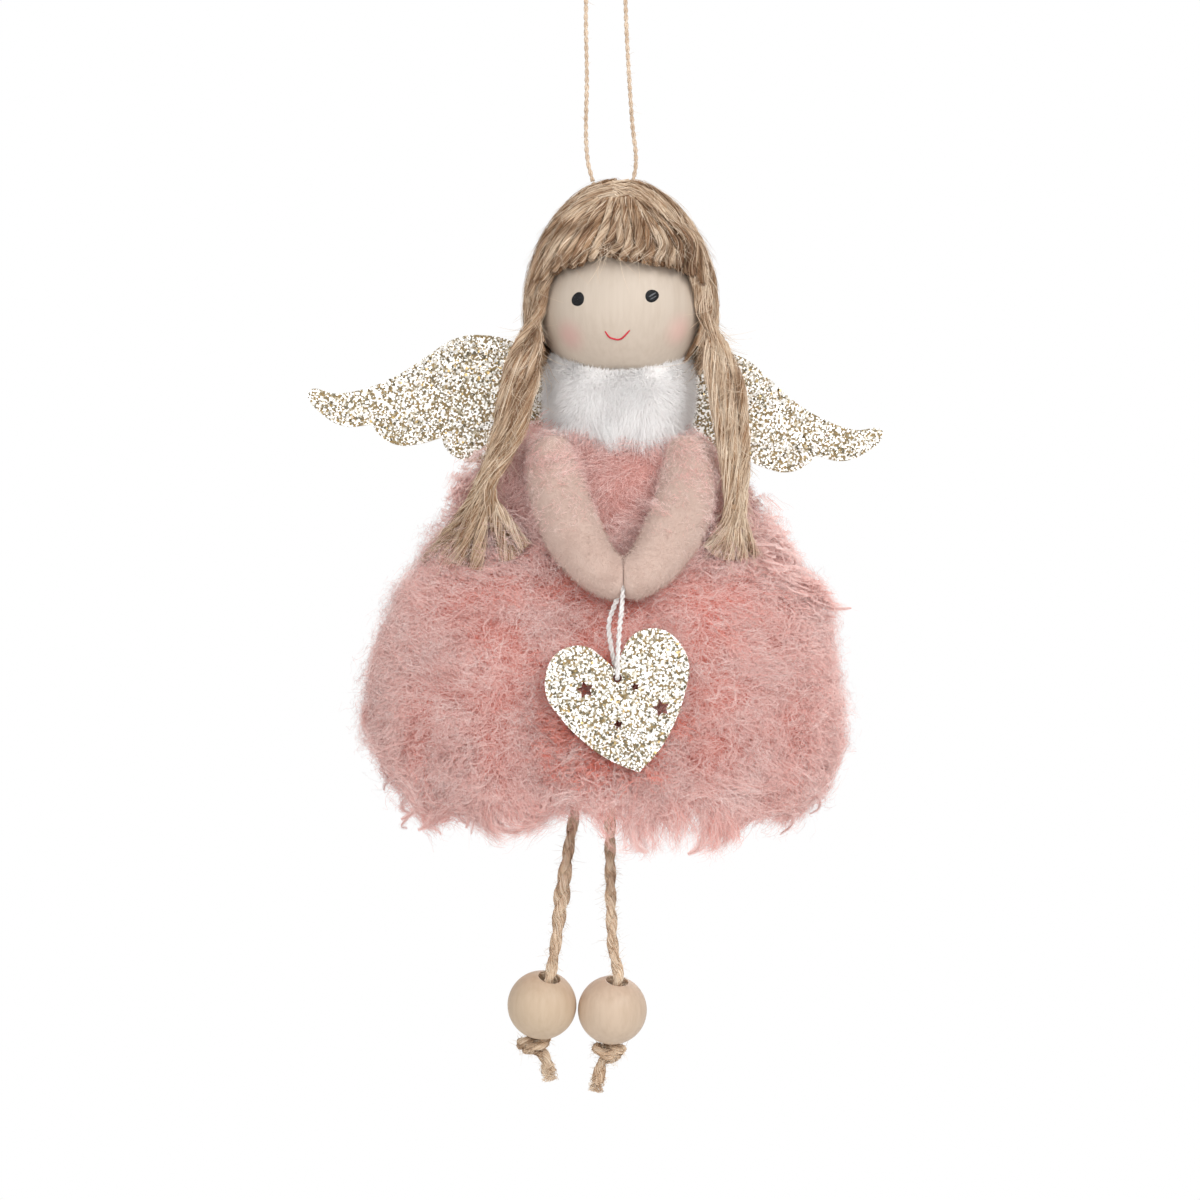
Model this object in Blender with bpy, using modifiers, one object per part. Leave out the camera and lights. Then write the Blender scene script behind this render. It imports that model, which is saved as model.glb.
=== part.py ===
"""Hanging angel doll: a wooden head with jute hair, a fur dress on a stuffed body, and bead feet.

Metres, +Z up, +X to the viewer's right, the doll faces -Y. The origin is the inside of the bend at
the top of the hanging loop, where a hook carries it. All sizes below are in millimetres.
"""

import math

import bmesh
import bpy
from mathutils import Matrix, Vector

MM = 0.001
COLLECTION_NAME = "angel_doll"
CUTTER_COLLECTION_NAME = "cutters"

# Clearances
GAP = 0.3  # between neighbouring pieces
JOINT_GAP = 0.35  # between pieces that turn on each other

# Head
HEAD_X = 2.8
HEAD_Z = -79.6
HEAD_RADIUS = 18.0
HEAD_BORE_RADIUS = 2.6

# Hanging loop, a thin twine that enters the crown at two places
LOOP_TWINE = 0.9
CROWN_EXIT_DROP = 1.1  # below the top of the hair
CROWN_EXIT_LEFT = -3.3
CROWN_EXIT_RIGHT = 5.4
LOOP_STRAND_SPACING = 1.3  # between the two strands inside the head
LOOP_KNOT_RADIUS = 2.9

# Hair
HAIR_ON_CROWN = 10.1  # heaped hair above the ball
HAIR_AT_SIDES = 3.3
CAP_RISE = HEAD_RADIUS + HAIR_ON_CROWN
CAP_RADIUS = HEAD_RADIUS + HAIR_AT_SIDES
CROWN_EXIT_Z = HEAD_Z + CAP_RISE - CROWN_EXIT_DROP
CAP_NAPE_DROP = 15.6  # lower edge of the back hair below the middle of the head
HAIR_PARTING_Y = -4.3  # the cap is behind this plane, the fringe in front
FRINGE_LOCKS = 13
FRINGE_HALF_WIDTH_DEG = 76.0
FRINGE_EDGE_DEG = 31.0  # height of the fringe's edge over the middle of the face
FRINGE_EDGE_DROP_DEG = 17.0  # how far the edge falls towards the temples
FRINGE_AT_TOP = 4.9  # outside of the fringe above the ball, at its top and at its edge
FRINGE_AT_EDGE = 2.9
FRINGE_TURN_DEG = -4.0
TAIL_TOP_RADIUS = 2.5
TAIL_BODY_RADIUS = 3.7
TAIL_WAIST_RADIUS = 2.6
TAIL_END_RADIUS = 1.5
TIE_THREAD = 0.8

# Collar
COLLAR_X = 2.4
COLLAR_TOP_Z = -88.0
COLLAR_BOTTOM_Z = -108.6
COLLAR_RADIUS = 17.0
COLLAR_DEPTH_SHARE = 0.97

# Stuffed body: height, half width and half depth of its rings
NECK_RADIUS = 7.6
BODY_RINGS = (
    (-93.0, NECK_RADIUS, NECK_RADIUS),
    (-106.0, NECK_RADIUS, NECK_RADIUS),
    (-111.0, 15.0, 8.6),
    (-117.0, 22.5, 10.4),
    (-124.0, 26.5, 12.2),
    (-134.0, 30.0, 14.2),
    (-143.0, 30.5, 14.6),
    (-150.0, 26.0, 12.6),
    (-154.0, 18.0, 9.0),
    (-155.4, 10.0, 6.0),
)
BODY_X = 1.2
KNOT_POCKET_RADIUS = 3.6
KNOT_POCKET_DEPTH = 15.0  # below the neck's top ring

# Dress: height, half width and half depth of its outside
WAIST_Z = -135.0
BODICE_RINGS = (
    (COLLAR_BOTTOM_Z - GAP, 19.5, 12.6),
    (-112.0, 24.2, 14.6),
    (-117.0, 29.2, 16.6),
    (-124.0, 32.8, 18.4),
    (-130.0, 35.0, 19.7),
    (WAIST_Z + GAP, 36.6, 20.8),
)
SKIRT_RINGS = (
    (WAIST_Z, 37.0, 21.0),
    (-139.0, 41.6, 23.4),
    (-145.0, 45.4, 25.8),
    (-152.0, 47.8, 27.6),
    (-160.0, 49.6, 28.8),
    (-168.0, 50.4, 29.6),
    (-176.0, 49.4, 29.8),
    (-183.0, 46.8, 29.2),
    (-188.0, 44.4, 28.4),
)
SKIRT_WALL = 4.6
SKIRT_FOLDS = 12
SKIRT_FOLD_DEPTH = 1.5
HEM_SCALLOP = 2.2
DRESS_X = -0.6

# Arms: the two hands meet in front of the waist
SHOULDER_Y = -10.6
SHOULDER_Z = -111.6
SHOULDER_RADIUS = 5.0
ARM_RADIUS = 6.1
HAND_RADIUS = 4.1
HANDS_X = 3.1
HANDS_Y = -32.0
HANDS_Z = -139.2
ARM_LEFT_ROUTE = ((-12.4, SHOULDER_Y, SHOULDER_Z), (-11.6, -14.2, -117.0), (-9.8, -19.4, -123.6),
                  (-6.8, -25.0, -130.6), (-2.6, -29.8, -136.4), (HANDS_X + 1.2, HANDS_Y, HANDS_Z - 0.2))
ARM_RIGHT_ROUTE = ((17.4, SHOULDER_Y, SHOULDER_Z), (17.2, -14.2, -117.0), (16.0, -19.4, -123.4),
                   (13.0, -25.0, -130.4), (8.8, -29.8, -136.4), (HANDS_X - 1.2, HANDS_Y, HANDS_Z - 0.2))

# Heart and the white cord that carries it from the joined hands
HEART_CORD = 1.0
CORD_RING_RADIUS = 4.8  # the cord's way round the joined hands, in their crease
HEART_NOTCH_X = 1.5
HEART_NOTCH_Z = -158.1
HEART_HEIGHT = 21.9  # notch to tip
HEART_HALF_WIDTH = 15.3
HEART_LOBE_RISE = 6.9
HEART_THICKNESS = 2.0
HEART_Y = -36.0
HEART_TILT_DEG = 13.0
HEART_HOLE_RADIUS = 0.95
HEART_HOLE_DROP = 1.7  # below the notch
STARS = ((-7.1, -2.6, 1.95), (7.5, -9.9, 1.95), (3.2, -4.3, 1.05), (-2.0, -11.2, 1.15))
STAR_WAIST = 0.5  # inner radius as a share of the outer
STRING_KNOT_RADIUS = 1.3

# Wings, one flat plate behind the neck
WING_MIDDLE_X = -2.7
WING_MIDDLE_Z = -102.0
WING_TURN_DEG = 4.0
WING_THICKNESS = 1.8
WING_HAIR_GAP = 0.9
WING_FRONT_Y = COLLAR_RADIUS * COLLAR_DEPTH_SHARE + GAP  # the plate lies against the collar's back

# Legs, beads and their knots
LEG_TWINE = 2.3
LEG_KNOT_RADIUS = 2.6
LEG_PIVOT_Z = -158.4
LEG_LEFT_X = -4.4
LEG_RIGHT_X = 2.2
BEAD_RADIUS = 7.5
BEAD_BORE_RADIUS = 2.4
BEAD_EASE = 0.5  # rounding at the mouths of the bore
BEAD_LEFT = (-14.35, 0.0, -231.5)
BEAD_RIGHT = (0.95, 0.0, -232.6)
BEAD_LEFT_AXIS = (0.232, -0.417, 0.879)
BEAD_RIGHT_AXIS = (0.145, -0.355, 0.924)
FOOT_KNOT_WIDTH = 7.2
FOOT_KNOT_HEIGHT = 4.6
FOOT_KNOT_SEAT = 2.25  # knot's middle below the mouth of the bore

# Facets
ROUND_STEPS = 32
HEAD_RINGS = 18
CORD_RESOLUTION = 2
FRINGE_LOCK_STEPS = 4
FRINGE_ROWS = 6
FOLD_STEPS = 4  # facets along each fold of the skirt
BEAD_STEPS = 24
CAP_STEPS = 28
COLLAR_STEPS = 30


def clear_scene():
    """Remove what is in the scene, and leave the file open."""
    for obj in list(bpy.data.objects):
        bpy.data.objects.remove(obj, do_unlink=True)


def make_collection(name):
    collection = bpy.data.collections.new(name)
    bpy.context.scene.collection.children.link(collection)
    return collection


def make_material(name, colour, roughness, metallic=0.0):
    material = bpy.data.materials.new(name)
    material.use_nodes = True
    shader = material.node_tree.nodes["Principled BSDF"]
    shader.inputs["Base Color"].default_value = (*colour, 1.0)
    shader.inputs["Roughness"].default_value = roughness
    shader.inputs["Metallic"].default_value = metallic
    material.diffuse_color = (*colour, 1.0)
    return material


def vec(point):
    """A point in millimetres as a vector in metres."""
    return Vector(point) * MM


def add_mesh(name, mesh, collection, material=None):
    obj = bpy.data.objects.new(name, mesh)
    collection.objects.link(obj)
    if material is not None:
        obj.data.materials.clear()
        obj.data.materials.append(material)
    return obj


def mark_cutter(obj):
    obj.hide_render = True
    obj.display_type = "WIRE"
    return obj


def shade(obj, angle_deg=40.0):
    obj.data.shade_smooth()
    obj.data.set_sharp_from_angle(angle=math.radians(angle_deg))


def sphere_mesh(name, centre, radius, segments=ROUND_STEPS, rings=HEAD_RINGS, scale=(1, 1, 1), turn=None):
    """A ball or an ellipsoid, with its poles along its own Z."""
    build = bmesh.new()
    bmesh.ops.create_uvsphere(build, u_segments=segments, v_segments=rings, radius=radius * MM)
    bmesh.ops.transform(build, matrix=Matrix.Diagonal((*scale, 1.0)), verts=build.verts)
    if turn is not None:
        bmesh.ops.transform(build, matrix=turn.to_4x4(), verts=build.verts)
    bmesh.ops.translate(build, vec=vec(centre), verts=build.verts)
    mesh = bpy.data.meshes.new(name)
    build.to_mesh(mesh)
    build.free()
    return mesh


def box_mesh(name, low, high):
    build = bmesh.new()
    bmesh.ops.create_cube(build, size=1.0)
    size = [high[i] - low[i] for i in range(3)]
    middle = [(high[i] + low[i]) / 2 for i in range(3)]
    bmesh.ops.scale(build, vec=vec(size), verts=build.verts)
    bmesh.ops.translate(build, vec=vec(middle), verts=build.verts)
    mesh = bpy.data.meshes.new(name)
    build.to_mesh(mesh)
    build.free()
    return mesh


def cylinder_mesh(name, centre, radius, depth, turn=None, segments=24):
    """A cylinder along its own Z."""
    build = bmesh.new()
    bmesh.ops.create_cone(build, cap_ends=True, segments=segments, radius1=radius * MM,
                          radius2=radius * MM, depth=depth * MM)
    if turn is not None:
        bmesh.ops.transform(build, matrix=turn.to_4x4(), verts=build.verts)
    bmesh.ops.translate(build, vec=vec(centre), verts=build.verts)
    mesh = bpy.data.meshes.new(name)
    build.to_mesh(mesh)
    build.free()
    return mesh


def curve_to_mesh(curve_object, name):
    """The evaluated curve as a welded mesh, and the curve removed."""
    graph = bpy.context.evaluated_depsgraph_get()
    mesh = bpy.data.meshes.new_from_object(curve_object.evaluated_get(graph))
    build = bmesh.new()
    build.from_mesh(mesh)
    bmesh.ops.transform(build, matrix=curve_object.matrix_world, verts=build.verts)
    bmesh.ops.remove_doubles(build, verts=build.verts, dist=0.01 * MM)
    bmesh.ops.recalc_face_normals(build, faces=build.faces)
    build.to_mesh(mesh)
    build.free()
    mesh.name = name
    bpy.data.objects.remove(curve_object, do_unlink=True)
    return mesh


def smooth_route(points, step):
    """Points about one step apart on a smooth curve through the route's own points."""
    knots = [Vector(p) for p in points]
    ends = [2 * knots[0] - knots[1]] + knots + [2 * knots[-1] - knots[-2]]
    fine = []
    for i in range(1, len(ends) - 2):
        a, b, c, d = ends[i - 1:i + 3]
        for k in range(16):
            t = k / 16
            fine.append(0.5 * (2 * b + (c - a) * t + (2 * a - 5 * b + 4 * c - d) * t * t
                               + (3 * b - a - 3 * c + d) * t ** 3))
    fine.append(knots[-1])
    lengths = [0.0]
    for p, q in zip(fine, fine[1:]):
        lengths.append(lengths[-1] + (q - p).length)
    count = max(2, round(lengths[-1] / step))
    route = []
    at = 0
    for k in range(count + 1):
        goal = lengths[-1] * k / count
        while at < len(fine) - 2 and lengths[at + 1] < goal:
            at += 1
        span = lengths[at + 1] - lengths[at]
        route.append(fine[at].lerp(fine[at + 1], (goal - lengths[at]) / span))
    return route


def tube_curve(name, points, radius, resolution=CORD_RESOLUTION, shares=None):
    """A tube with filled caps along the points; shares scale its radius point by point."""
    curve = bpy.data.curves.new(name, "CURVE")
    curve.dimensions = "3D"
    curve.bevel_depth = radius * MM
    curve.bevel_resolution = resolution
    curve.use_fill_caps = True
    spline = curve.splines.new("POLY")
    spline.points.add(len(points) - 1)
    for i, point in enumerate(points):
        spline.points[i].co = (*vec(point), 1.0)
        spline.points[i].radius = 1.0 if shares is None else shares[i]
    obj = bpy.data.objects.new(name, curve)
    bpy.context.scene.collection.objects.link(obj)
    bpy.context.view_layer.update()
    return obj


def tube_mesh(name, points, radius, resolution=CORD_RESOLUTION, shares=None):
    return curve_to_mesh(tube_curve(name, points, radius, resolution, shares), name)


def spread_shares(values, count):
    """Values given along a route, read at as many places as it has points."""
    shares = []
    for k in range(count):
        at = k * (len(values) - 1) / (count - 1)
        low = min(int(at), len(values) - 2)
        shares.append(values[low] + (values[low + 1] - values[low]) * (at - low))
    return shares


def ring_at(rings, z):
    """Half width and half depth of a form at a height."""
    for (z0, a0, b0), (z1, a1, b1) in zip(rings, rings[1:]):
        if z1 <= z <= z0:
            share = (z0 - z) / (z0 - z1)
            return a0 + (a1 - a0) * share, b0 + (b1 - b0) * share
    return (rings[0] if z > rings[0][0] else rings[-1])[1:]


def loft_mesh(name, rings, centre_x, grow=0.0, steps=ROUND_STEPS):
    """A closed form through oval rings, listed from the top down."""
    build = bmesh.new()
    rows = []
    for index, (z, a, b) in enumerate(rings):
        lift = grow if index == 0 else (-grow if index == len(rings) - 1 else 0.0)
        rows.append([
            build.verts.new(vec((centre_x + (a + grow) * math.cos(2 * math.pi * k / steps),
                                 (b + grow) * math.sin(2 * math.pi * k / steps), z + lift)))
            for k in range(steps)])
    for upper, lower in zip(rows, rows[1:]):
        for k in range(steps):
            n = (k + 1) % steps
            build.faces.new((upper[k], lower[k], lower[n], upper[n]))
    build.faces.new(rows[0])
    build.faces.new(list(reversed(rows[-1])))
    bmesh.ops.recalc_face_normals(build, faces=build.faces)
    mesh = bpy.data.meshes.new(name)
    build.to_mesh(mesh)
    build.free()
    return mesh


def turned_mesh(name, profile, centre, steps=ROUND_STEPS, depth_share=1.0, turn=None):
    """A shape turned about Z from a profile that runs down its outer side."""
    mesh = bpy.data.meshes.new(name)
    closed = profile[0][0] > 0
    edges = [(i, i + 1) for i in range(len(profile) - 1)]
    if closed:
        edges.append((len(profile) - 1, 0))
    mesh.from_pydata([vec((r, 0.0, z)) for r, z in profile], edges, [])
    obj = bpy.data.objects.new(name, mesh)
    bpy.context.scene.collection.objects.link(obj)
    screw = obj.modifiers.new("turn", "SCREW")
    screw.steps = steps
    screw.render_steps = steps
    screw.use_merge_vertices = True
    screw.merge_threshold = 0.00005
    screw.use_normal_calculate = True
    bpy.context.view_layer.update()
    graph = bpy.context.evaluated_depsgraph_get()
    turned = bpy.data.meshes.new_from_object(obj.evaluated_get(graph))
    bpy.data.objects.remove(obj, do_unlink=True)
    build = bmesh.new()
    build.from_mesh(turned)
    bmesh.ops.transform(build, matrix=Matrix.Diagonal((1.0, depth_share, 1.0, 1.0)), verts=build.verts)
    if turn is not None:
        bmesh.ops.transform(build, matrix=turn.to_4x4(), verts=build.verts)
    bmesh.ops.translate(build, vec=vec(centre), verts=build.verts)
    bmesh.ops.recalc_face_normals(build, faces=build.faces)
    build.to_mesh(turned)
    build.free()
    return turned


def combine(target, other_mesh, operation, name):
    """Add the boolean of another mesh to a part, with the tool kept among the cutters."""
    tool = mark_cutter(add_mesh(name, other_mesh, CUTTERS))
    change = target.modifiers.new(name, "BOOLEAN")
    change.operation = operation
    change.object = tool
    change.solver = "EXACT"
    return tool


def cut(target, other_mesh, name):
    return combine(target, other_mesh, "DIFFERENCE", name)


def join(target, other_mesh, name):
    return combine(target, other_mesh, "UNION", name)


def head_centre():
    return (HEAD_X, 0.0, HEAD_Z)


def grown_head_mesh(name):
    return sphere_mesh(name, head_centre(), HEAD_RADIUS + GAP)


def hanging_loop_route():
    """From the left of the crown, over the hook and down to the right of the crown."""
    end_z = CROWN_EXIT_Z + JOINT_GAP / 2
    top_z = LOOP_TWINE / 2
    return ((CROWN_EXIT_LEFT, 0, end_z), (-4.4, 0, -48.0), (-4.8, 0, -41.5), (-4.6, 0, -30.0),
            (-4.8, 0, -17.5), (-4.5, 0, -9.0), (-2.9, 0, -2.3), (0.0, 0, top_z),
            (2.6, 0, -2.3), (3.6, 0, -9.0), (4.0, 0, -19.0), (4.6, 0, -30.0),
            (5.3, 0, -40.0), (6.0, 0, -46.0), (6.0, 0, -49.4), (CROWN_EXIT_RIGHT, 0, end_z))


def make_hanging_loop():
    route = smooth_route(hanging_loop_route(), 3.0 * LOOP_TWINE)
    mesh = tube_mesh("hanging_loop", route, LOOP_TWINE / 2)
    return add_mesh("hanging_loop", mesh, PARTS, TWINE_PALE)


def anchor_strand_route(exit_x, side):
    """One strand from the crown through the hair and the head's bore to the knot."""
    inner_x = HEAD_X + side * LOOP_STRAND_SPACING / 2
    top_z = CROWN_EXIT_Z - JOINT_GAP / 2
    knot_z = HEAD_Z - HEAD_RADIUS - LOOP_KNOT_RADIUS
    return ((exit_x, 0, top_z), ((2 * exit_x + inner_x) / 3, 0, top_z - 3.4),
            (inner_x + side * 0.4, 0, HEAD_Z + HEAD_RADIUS + 0.6), (inner_x, 0, HEAD_Z + 8.0),
            (inner_x, 0, HEAD_Z - 8.0), (inner_x, 0, knot_z))


def make_loop_anchor():
    """The ends of the loop inside the head, tied under it."""
    step = 3.0 * LOOP_TWINE
    left = smooth_route(anchor_strand_route(CROWN_EXIT_LEFT, -1), step)
    right = smooth_route(anchor_strand_route(CROWN_EXIT_RIGHT, 1), step)
    anchor = add_mesh("loop_anchor", tube_mesh("loop_anchor", left, LOOP_TWINE / 2, 1), PARTS, TWINE_PALE)
    join(anchor, tube_mesh("anchor_right_strand", right, LOOP_TWINE / 2, 1), "anchor_right_strand")
    knot_z = HEAD_Z - HEAD_RADIUS - LOOP_KNOT_RADIUS
    knot = sphere_mesh("anchor_knot", (HEAD_X, 0, knot_z), LOOP_KNOT_RADIUS, 12, 8, (1, 1, 0.85))
    join(anchor, knot, "anchor_knot")
    return anchor


def make_head_ball():
    head = add_mesh("head_ball", sphere_mesh("head_ball", head_centre(), HEAD_RADIUS), PARTS, WOOD)
    cut(head, cylinder_mesh("head_bore", head_centre(), HEAD_BORE_RADIUS, 3 * HEAD_RADIUS), "head_bore")
    shade(head, 30.0)
    return head


def cap_profile():
    """Outer side of the heaped hair, from the crown down to the nape, about the head's axis."""
    crown = HEAD_Z + CAP_RISE
    widest = HEAD_Z - 1.0
    nape = HEAD_Z - CAP_NAPE_DROP
    profile = []
    for k in range(9):
        angle = math.radians(90.0 * k / 8)
        side = math.sin(angle) ** 1.12  # a dome a little more pointed than an ellipse
        profile.append((CAP_RADIUS * side, widest + (crown - widest) * math.cos(angle)))
    for k in range(1, 4):
        share = k / 3
        profile.append((CAP_RADIUS * (1 - 0.2 * share ** 2), widest + (nape - widest) * share))
    profile.append((0.0, nape))
    return profile


def channel_mesh(name, exit_x, side):
    """The way of one strand through the hair, wider than the twine."""
    route = list(anchor_strand_route(exit_x, side))
    route.insert(0, (exit_x, 0, CROWN_EXIT_Z + 5.0))
    return tube_mesh(name, smooth_route(route, 3.0), LOOP_TWINE / 2 + 2 * GAP, 1)


def make_hair_cap():
    """Back and crown hair, laid over the ball behind the parting."""
    cap = add_mesh("hair_cap", turned_mesh("hair_cap", cap_profile(), (HEAD_X, 0, 0), CAP_STEPS), PARTS, JUTE)
    cut(cap, grown_head_mesh("cap_seat"), "cap_seat")
    reach = 2 * CAP_RADIUS
    front = box_mesh("cap_parting", (HEAD_X - reach, -reach, HEAD_Z - reach),
                     (HEAD_X + reach, HAIR_PARTING_Y, HEAD_Z + reach))
    cut(cap, front, "cap_parting")
    collar_room = turned_mesh("cap_collar", collar_profile(GAP), (COLLAR_X, 0, 0), COLLAR_STEPS,
                              COLLAR_DEPTH_SHARE)
    cut(cap, collar_room, "cap_collar")
    cut(cap, loft_mesh("cap_neck", BODY_RINGS, BODY_X, GAP), "cap_neck")
    cut(cap, wing_plate_mesh("cap_wing_room", WING_HAIR_GAP), "cap_wing_room")
    cut(cap, channel_mesh("cap_channel_left", CROWN_EXIT_LEFT, -1), "cap_channel_left")
    cut(cap, channel_mesh("cap_channel_right", CROWN_EXIT_RIGHT, 1), "cap_channel_right")
    shade(cap)
    return cap


def fringe_edge_deg(turn_deg):
    """Height of the fringe's lower edge at an angle from the middle of the face."""
    share = abs(turn_deg) / FRINGE_HALF_WIDTH_DEG
    lock = abs(math.sin(math.pi * FRINGE_LOCKS * (turn_deg / FRINGE_HALF_WIDTH_DEG + 1) / 2))
    return FRINGE_EDGE_DEG - FRINGE_EDGE_DROP_DEG * share ** 2 - 2.2 * lock


def fringe_point(turn_deg, share, outer):
    """A point of the fringe: share 0 at its lower edge, 1 at the parting over the crown."""
    low = fringe_edge_deg(turn_deg)
    up = math.radians(low + (86.0 - low) * share)
    around = math.radians(turn_deg + FRINGE_TURN_DEG)
    radius = HEAD_RADIUS + GAP + 0.1
    if outer:
        lock = abs(math.sin(math.pi * FRINGE_LOCKS * (turn_deg / FRINGE_HALF_WIDTH_DEG + 1) / 2))
        radius = HEAD_RADIUS + FRINGE_AT_EDGE + (FRINGE_AT_TOP - FRINGE_AT_EDGE) * share
        radius += 0.75 * lock * (1 - 0.6 * share) - 0.45
        radius -= 0.8 * max(0.0, 0.15 - share) / 0.15
    return (HEAD_X + radius * math.cos(up) * math.sin(around),
            -radius * math.cos(up) * math.cos(around),
            HEAD_Z + radius * math.sin(up))


def make_hair_fringe():
    """Locks that fan from the crown over the forehead, with a scalloped lower edge."""
    columns = FRINGE_LOCKS * FRINGE_LOCK_STEPS
    rows = FRINGE_ROWS
    build = bmesh.new()
    grids = []
    for outer in (True, False):
        grids.append([[build.verts.new(vec(fringe_point(
            FRINGE_HALF_WIDTH_DEG * (2 * c / columns - 1), r / rows, outer)))
            for c in range(columns + 1)] for r in range(rows + 1)])
    outer_grid, inner_grid = grids
    for r in range(rows):
        for c in range(columns):
            build.faces.new((outer_grid[r][c], outer_grid[r][c + 1], outer_grid[r + 1][c + 1],
                             outer_grid[r + 1][c]))
            build.faces.new((inner_grid[r][c], inner_grid[r + 1][c], inner_grid[r + 1][c + 1],
                             inner_grid[r][c + 1]))
    for c in range(columns):
        for row in (0, rows):
            build.faces.new((outer_grid[row][c], inner_grid[row][c], inner_grid[row][c + 1],
                             outer_grid[row][c + 1]))
    for r in range(rows):
        for col in (0, columns):
            build.faces.new((outer_grid[r][col], outer_grid[r + 1][col], inner_grid[r + 1][col],
                             inner_grid[r][col]))
    bmesh.ops.recalc_face_normals(build, faces=build.faces)
    mesh = bpy.data.meshes.new("hair_fringe")
    build.to_mesh(mesh)
    build.free()
    fringe = add_mesh("hair_fringe", mesh, PARTS, JUTE)
    reach = 2 * CAP_RADIUS
    cut(fringe, box_mesh("fringe_parting", (HEAD_X - reach, HAIR_PARTING_Y - GAP, HEAD_Z - reach),
                         (HEAD_X + reach, reach, HEAD_Z + reach)), "fringe_parting")
    shade(fringe)
    return fringe


def dress_front_y(x, z):
    """Depth of the dress's front surface below a point."""
    rings = BODICE_RINGS if z > WAIST_Z else SKIRT_RINGS
    a, b = ring_at(rings, z)
    across = min(0.98, abs(x - DRESS_X) / a)
    return -b * math.sqrt(1 - across ** 2)


def make_tail(name, route, end_points):
    """A hanging bunch of yarn, drawn in at its tie, whose cut ends spread on the dress."""
    points = smooth_route(route, 3.4)
    radii = (TAIL_TOP_RADIUS, 0.9 * TAIL_BODY_RADIUS, TAIL_BODY_RADIUS, TAIL_BODY_RADIUS, TAIL_WAIST_RADIUS)
    shares = [r / TAIL_BODY_RADIUS for r in spread_shares(radii, len(points))]
    tail = add_mesh(name, tube_mesh(name, points, TAIL_BODY_RADIUS, 2, shares), PARTS, JUTE)
    waist = route[-1]
    for index, (x, z) in enumerate(end_points):
        y_end = dress_front_y(x, z) - TAIL_END_RADIUS - 2 * GAP
        middle_x = (2 * waist[0] + 3 * x) / 5
        middle_z = (waist[2] + z) / 2
        y_middle = min(dress_front_y(middle_x, middle_z) - TAIL_END_RADIUS - 2 * GAP,
                       (waist[1] + y_end) / 2)
        start = Vector(waist) * 0.85 + Vector(route[-2]) * 0.15
        lock = smooth_route((start, (middle_x, y_middle, middle_z), (x, y_end, z)), 4.0)
        lock_name = f"{name}_end_{index}"
        join(tail, tube_mesh(lock_name, lock, TAIL_END_RADIUS, 1), lock_name)
    shade(tail)
    return tail


def tail_left_route():
    return ((-16.6, -8.0, -81.0), (-17.6, -10.0, -90.0), (-19.6, -14.8, -100.0),
            (-22.2, -17.4, -109.6), (-26.3, -17.6, -119.0))


def tail_right_route():
    return ((22.4, -8.0, -83.0), (24.0, -10.6, -92.0), (25.8, -15.0, -101.0),
            (26.7, -17.4, -113.0), (26.8, -17.8, -125.0))


TAIL_LEFT_ENDS = ((-38.4, -134.6), (-35.0, -136.2), (-31.6, -136.4), (-28.2, -136.8), (-21.6, -134.8),
                  (-18.2, -133.0))
TAIL_RIGHT_ENDS = ((22.0, -133.4), (25.4, -134.8), (28.4, -134.6), (31.2, -133.2))


def make_tie(name, route):
    """The thread that draws a tail in at its waist."""
    waist = Vector(route[-1]).lerp(Vector(route[-2]), 0.12)
    along = (Vector(route[-1]) - Vector(route[-2])).normalized()
    turn = along.to_track_quat("Z", "Y").to_matrix()
    inner = TAIL_WAIST_RADIUS * 1.16 + GAP
    profile = [(inner + TIE_THREAD * (0.5 + 0.5 * math.cos(a)), TIE_THREAD * math.sin(a))
               for a in (math.radians(60 - 60 * k) for k in range(6))]
    tie = add_mesh(name, turned_mesh(name, profile, waist, 18, 1.0, turn), PARTS, JUTE)
    shade(tie)
    return tie


def collar_profile(grow=0.0):
    """The plush ring's section round the neck, outer side first."""
    inner = NECK_RADIUS + GAP - grow
    outer = COLLAR_RADIUS + grow
    top = COLLAR_TOP_Z + grow
    bottom = COLLAR_BOTTOM_Z - grow
    height = top - bottom
    return ((inner + 3.0, top), (outer - 2.6, top), (outer - 0.8, top - 1.6), (outer, top - 0.3 * height),
            (outer, bottom + 0.3 * height), (outer - 1.0, bottom + 1.8), (outer - 3.4, bottom),
            (inner + 1.5, bottom), (inner, bottom + 1.5), (inner, top - 2.0))


def shoulder_points():
    return (ARM_LEFT_ROUTE[0], ARM_RIGHT_ROUTE[0])


def cut_shoulders(target, prefix):
    for side, point in zip(("left", "right"), shoulder_points()):
        name = f"{prefix}_socket_{side}"
        cut(target, sphere_mesh(name, point, SHOULDER_RADIUS + JOINT_GAP, 20, 12), name)


def make_collar():
    collar_mesh = turned_mesh("collar", collar_profile(), (COLLAR_X, 0, 0), COLLAR_STEPS, COLLAR_DEPTH_SHARE)
    collar = add_mesh("collar", collar_mesh, PARTS, PLUSH)
    cut(collar, grown_head_mesh("collar_head_seat"), "collar_head_seat")
    cut(collar, loft_mesh("collar_neck", BODY_RINGS, BODY_X, GAP), "collar_neck")
    cut_shoulders(collar, "collar")
    shade(collar)
    return collar


def make_body_core():
    """The stuffed body inside the dress, from the neck to the seat of the legs."""
    core = add_mesh("body_core", loft_mesh("body_core", BODY_RINGS, BODY_X), PARTS, FELT)
    cut(core, grown_head_mesh("core_head_seat"), "core_head_seat")
    cut_shoulders(core, "core")
    pocket_z = BODY_RINGS[0][0] - KNOT_POCKET_DEPTH / 2
    cut(core, cylinder_mesh("core_pocket", (HEAD_X, 0, pocket_z + 1.0), KNOT_POCKET_RADIUS,
                            KNOT_POCKET_DEPTH + 2.0), "core_pocket")
    shade(core)
    return core


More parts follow.
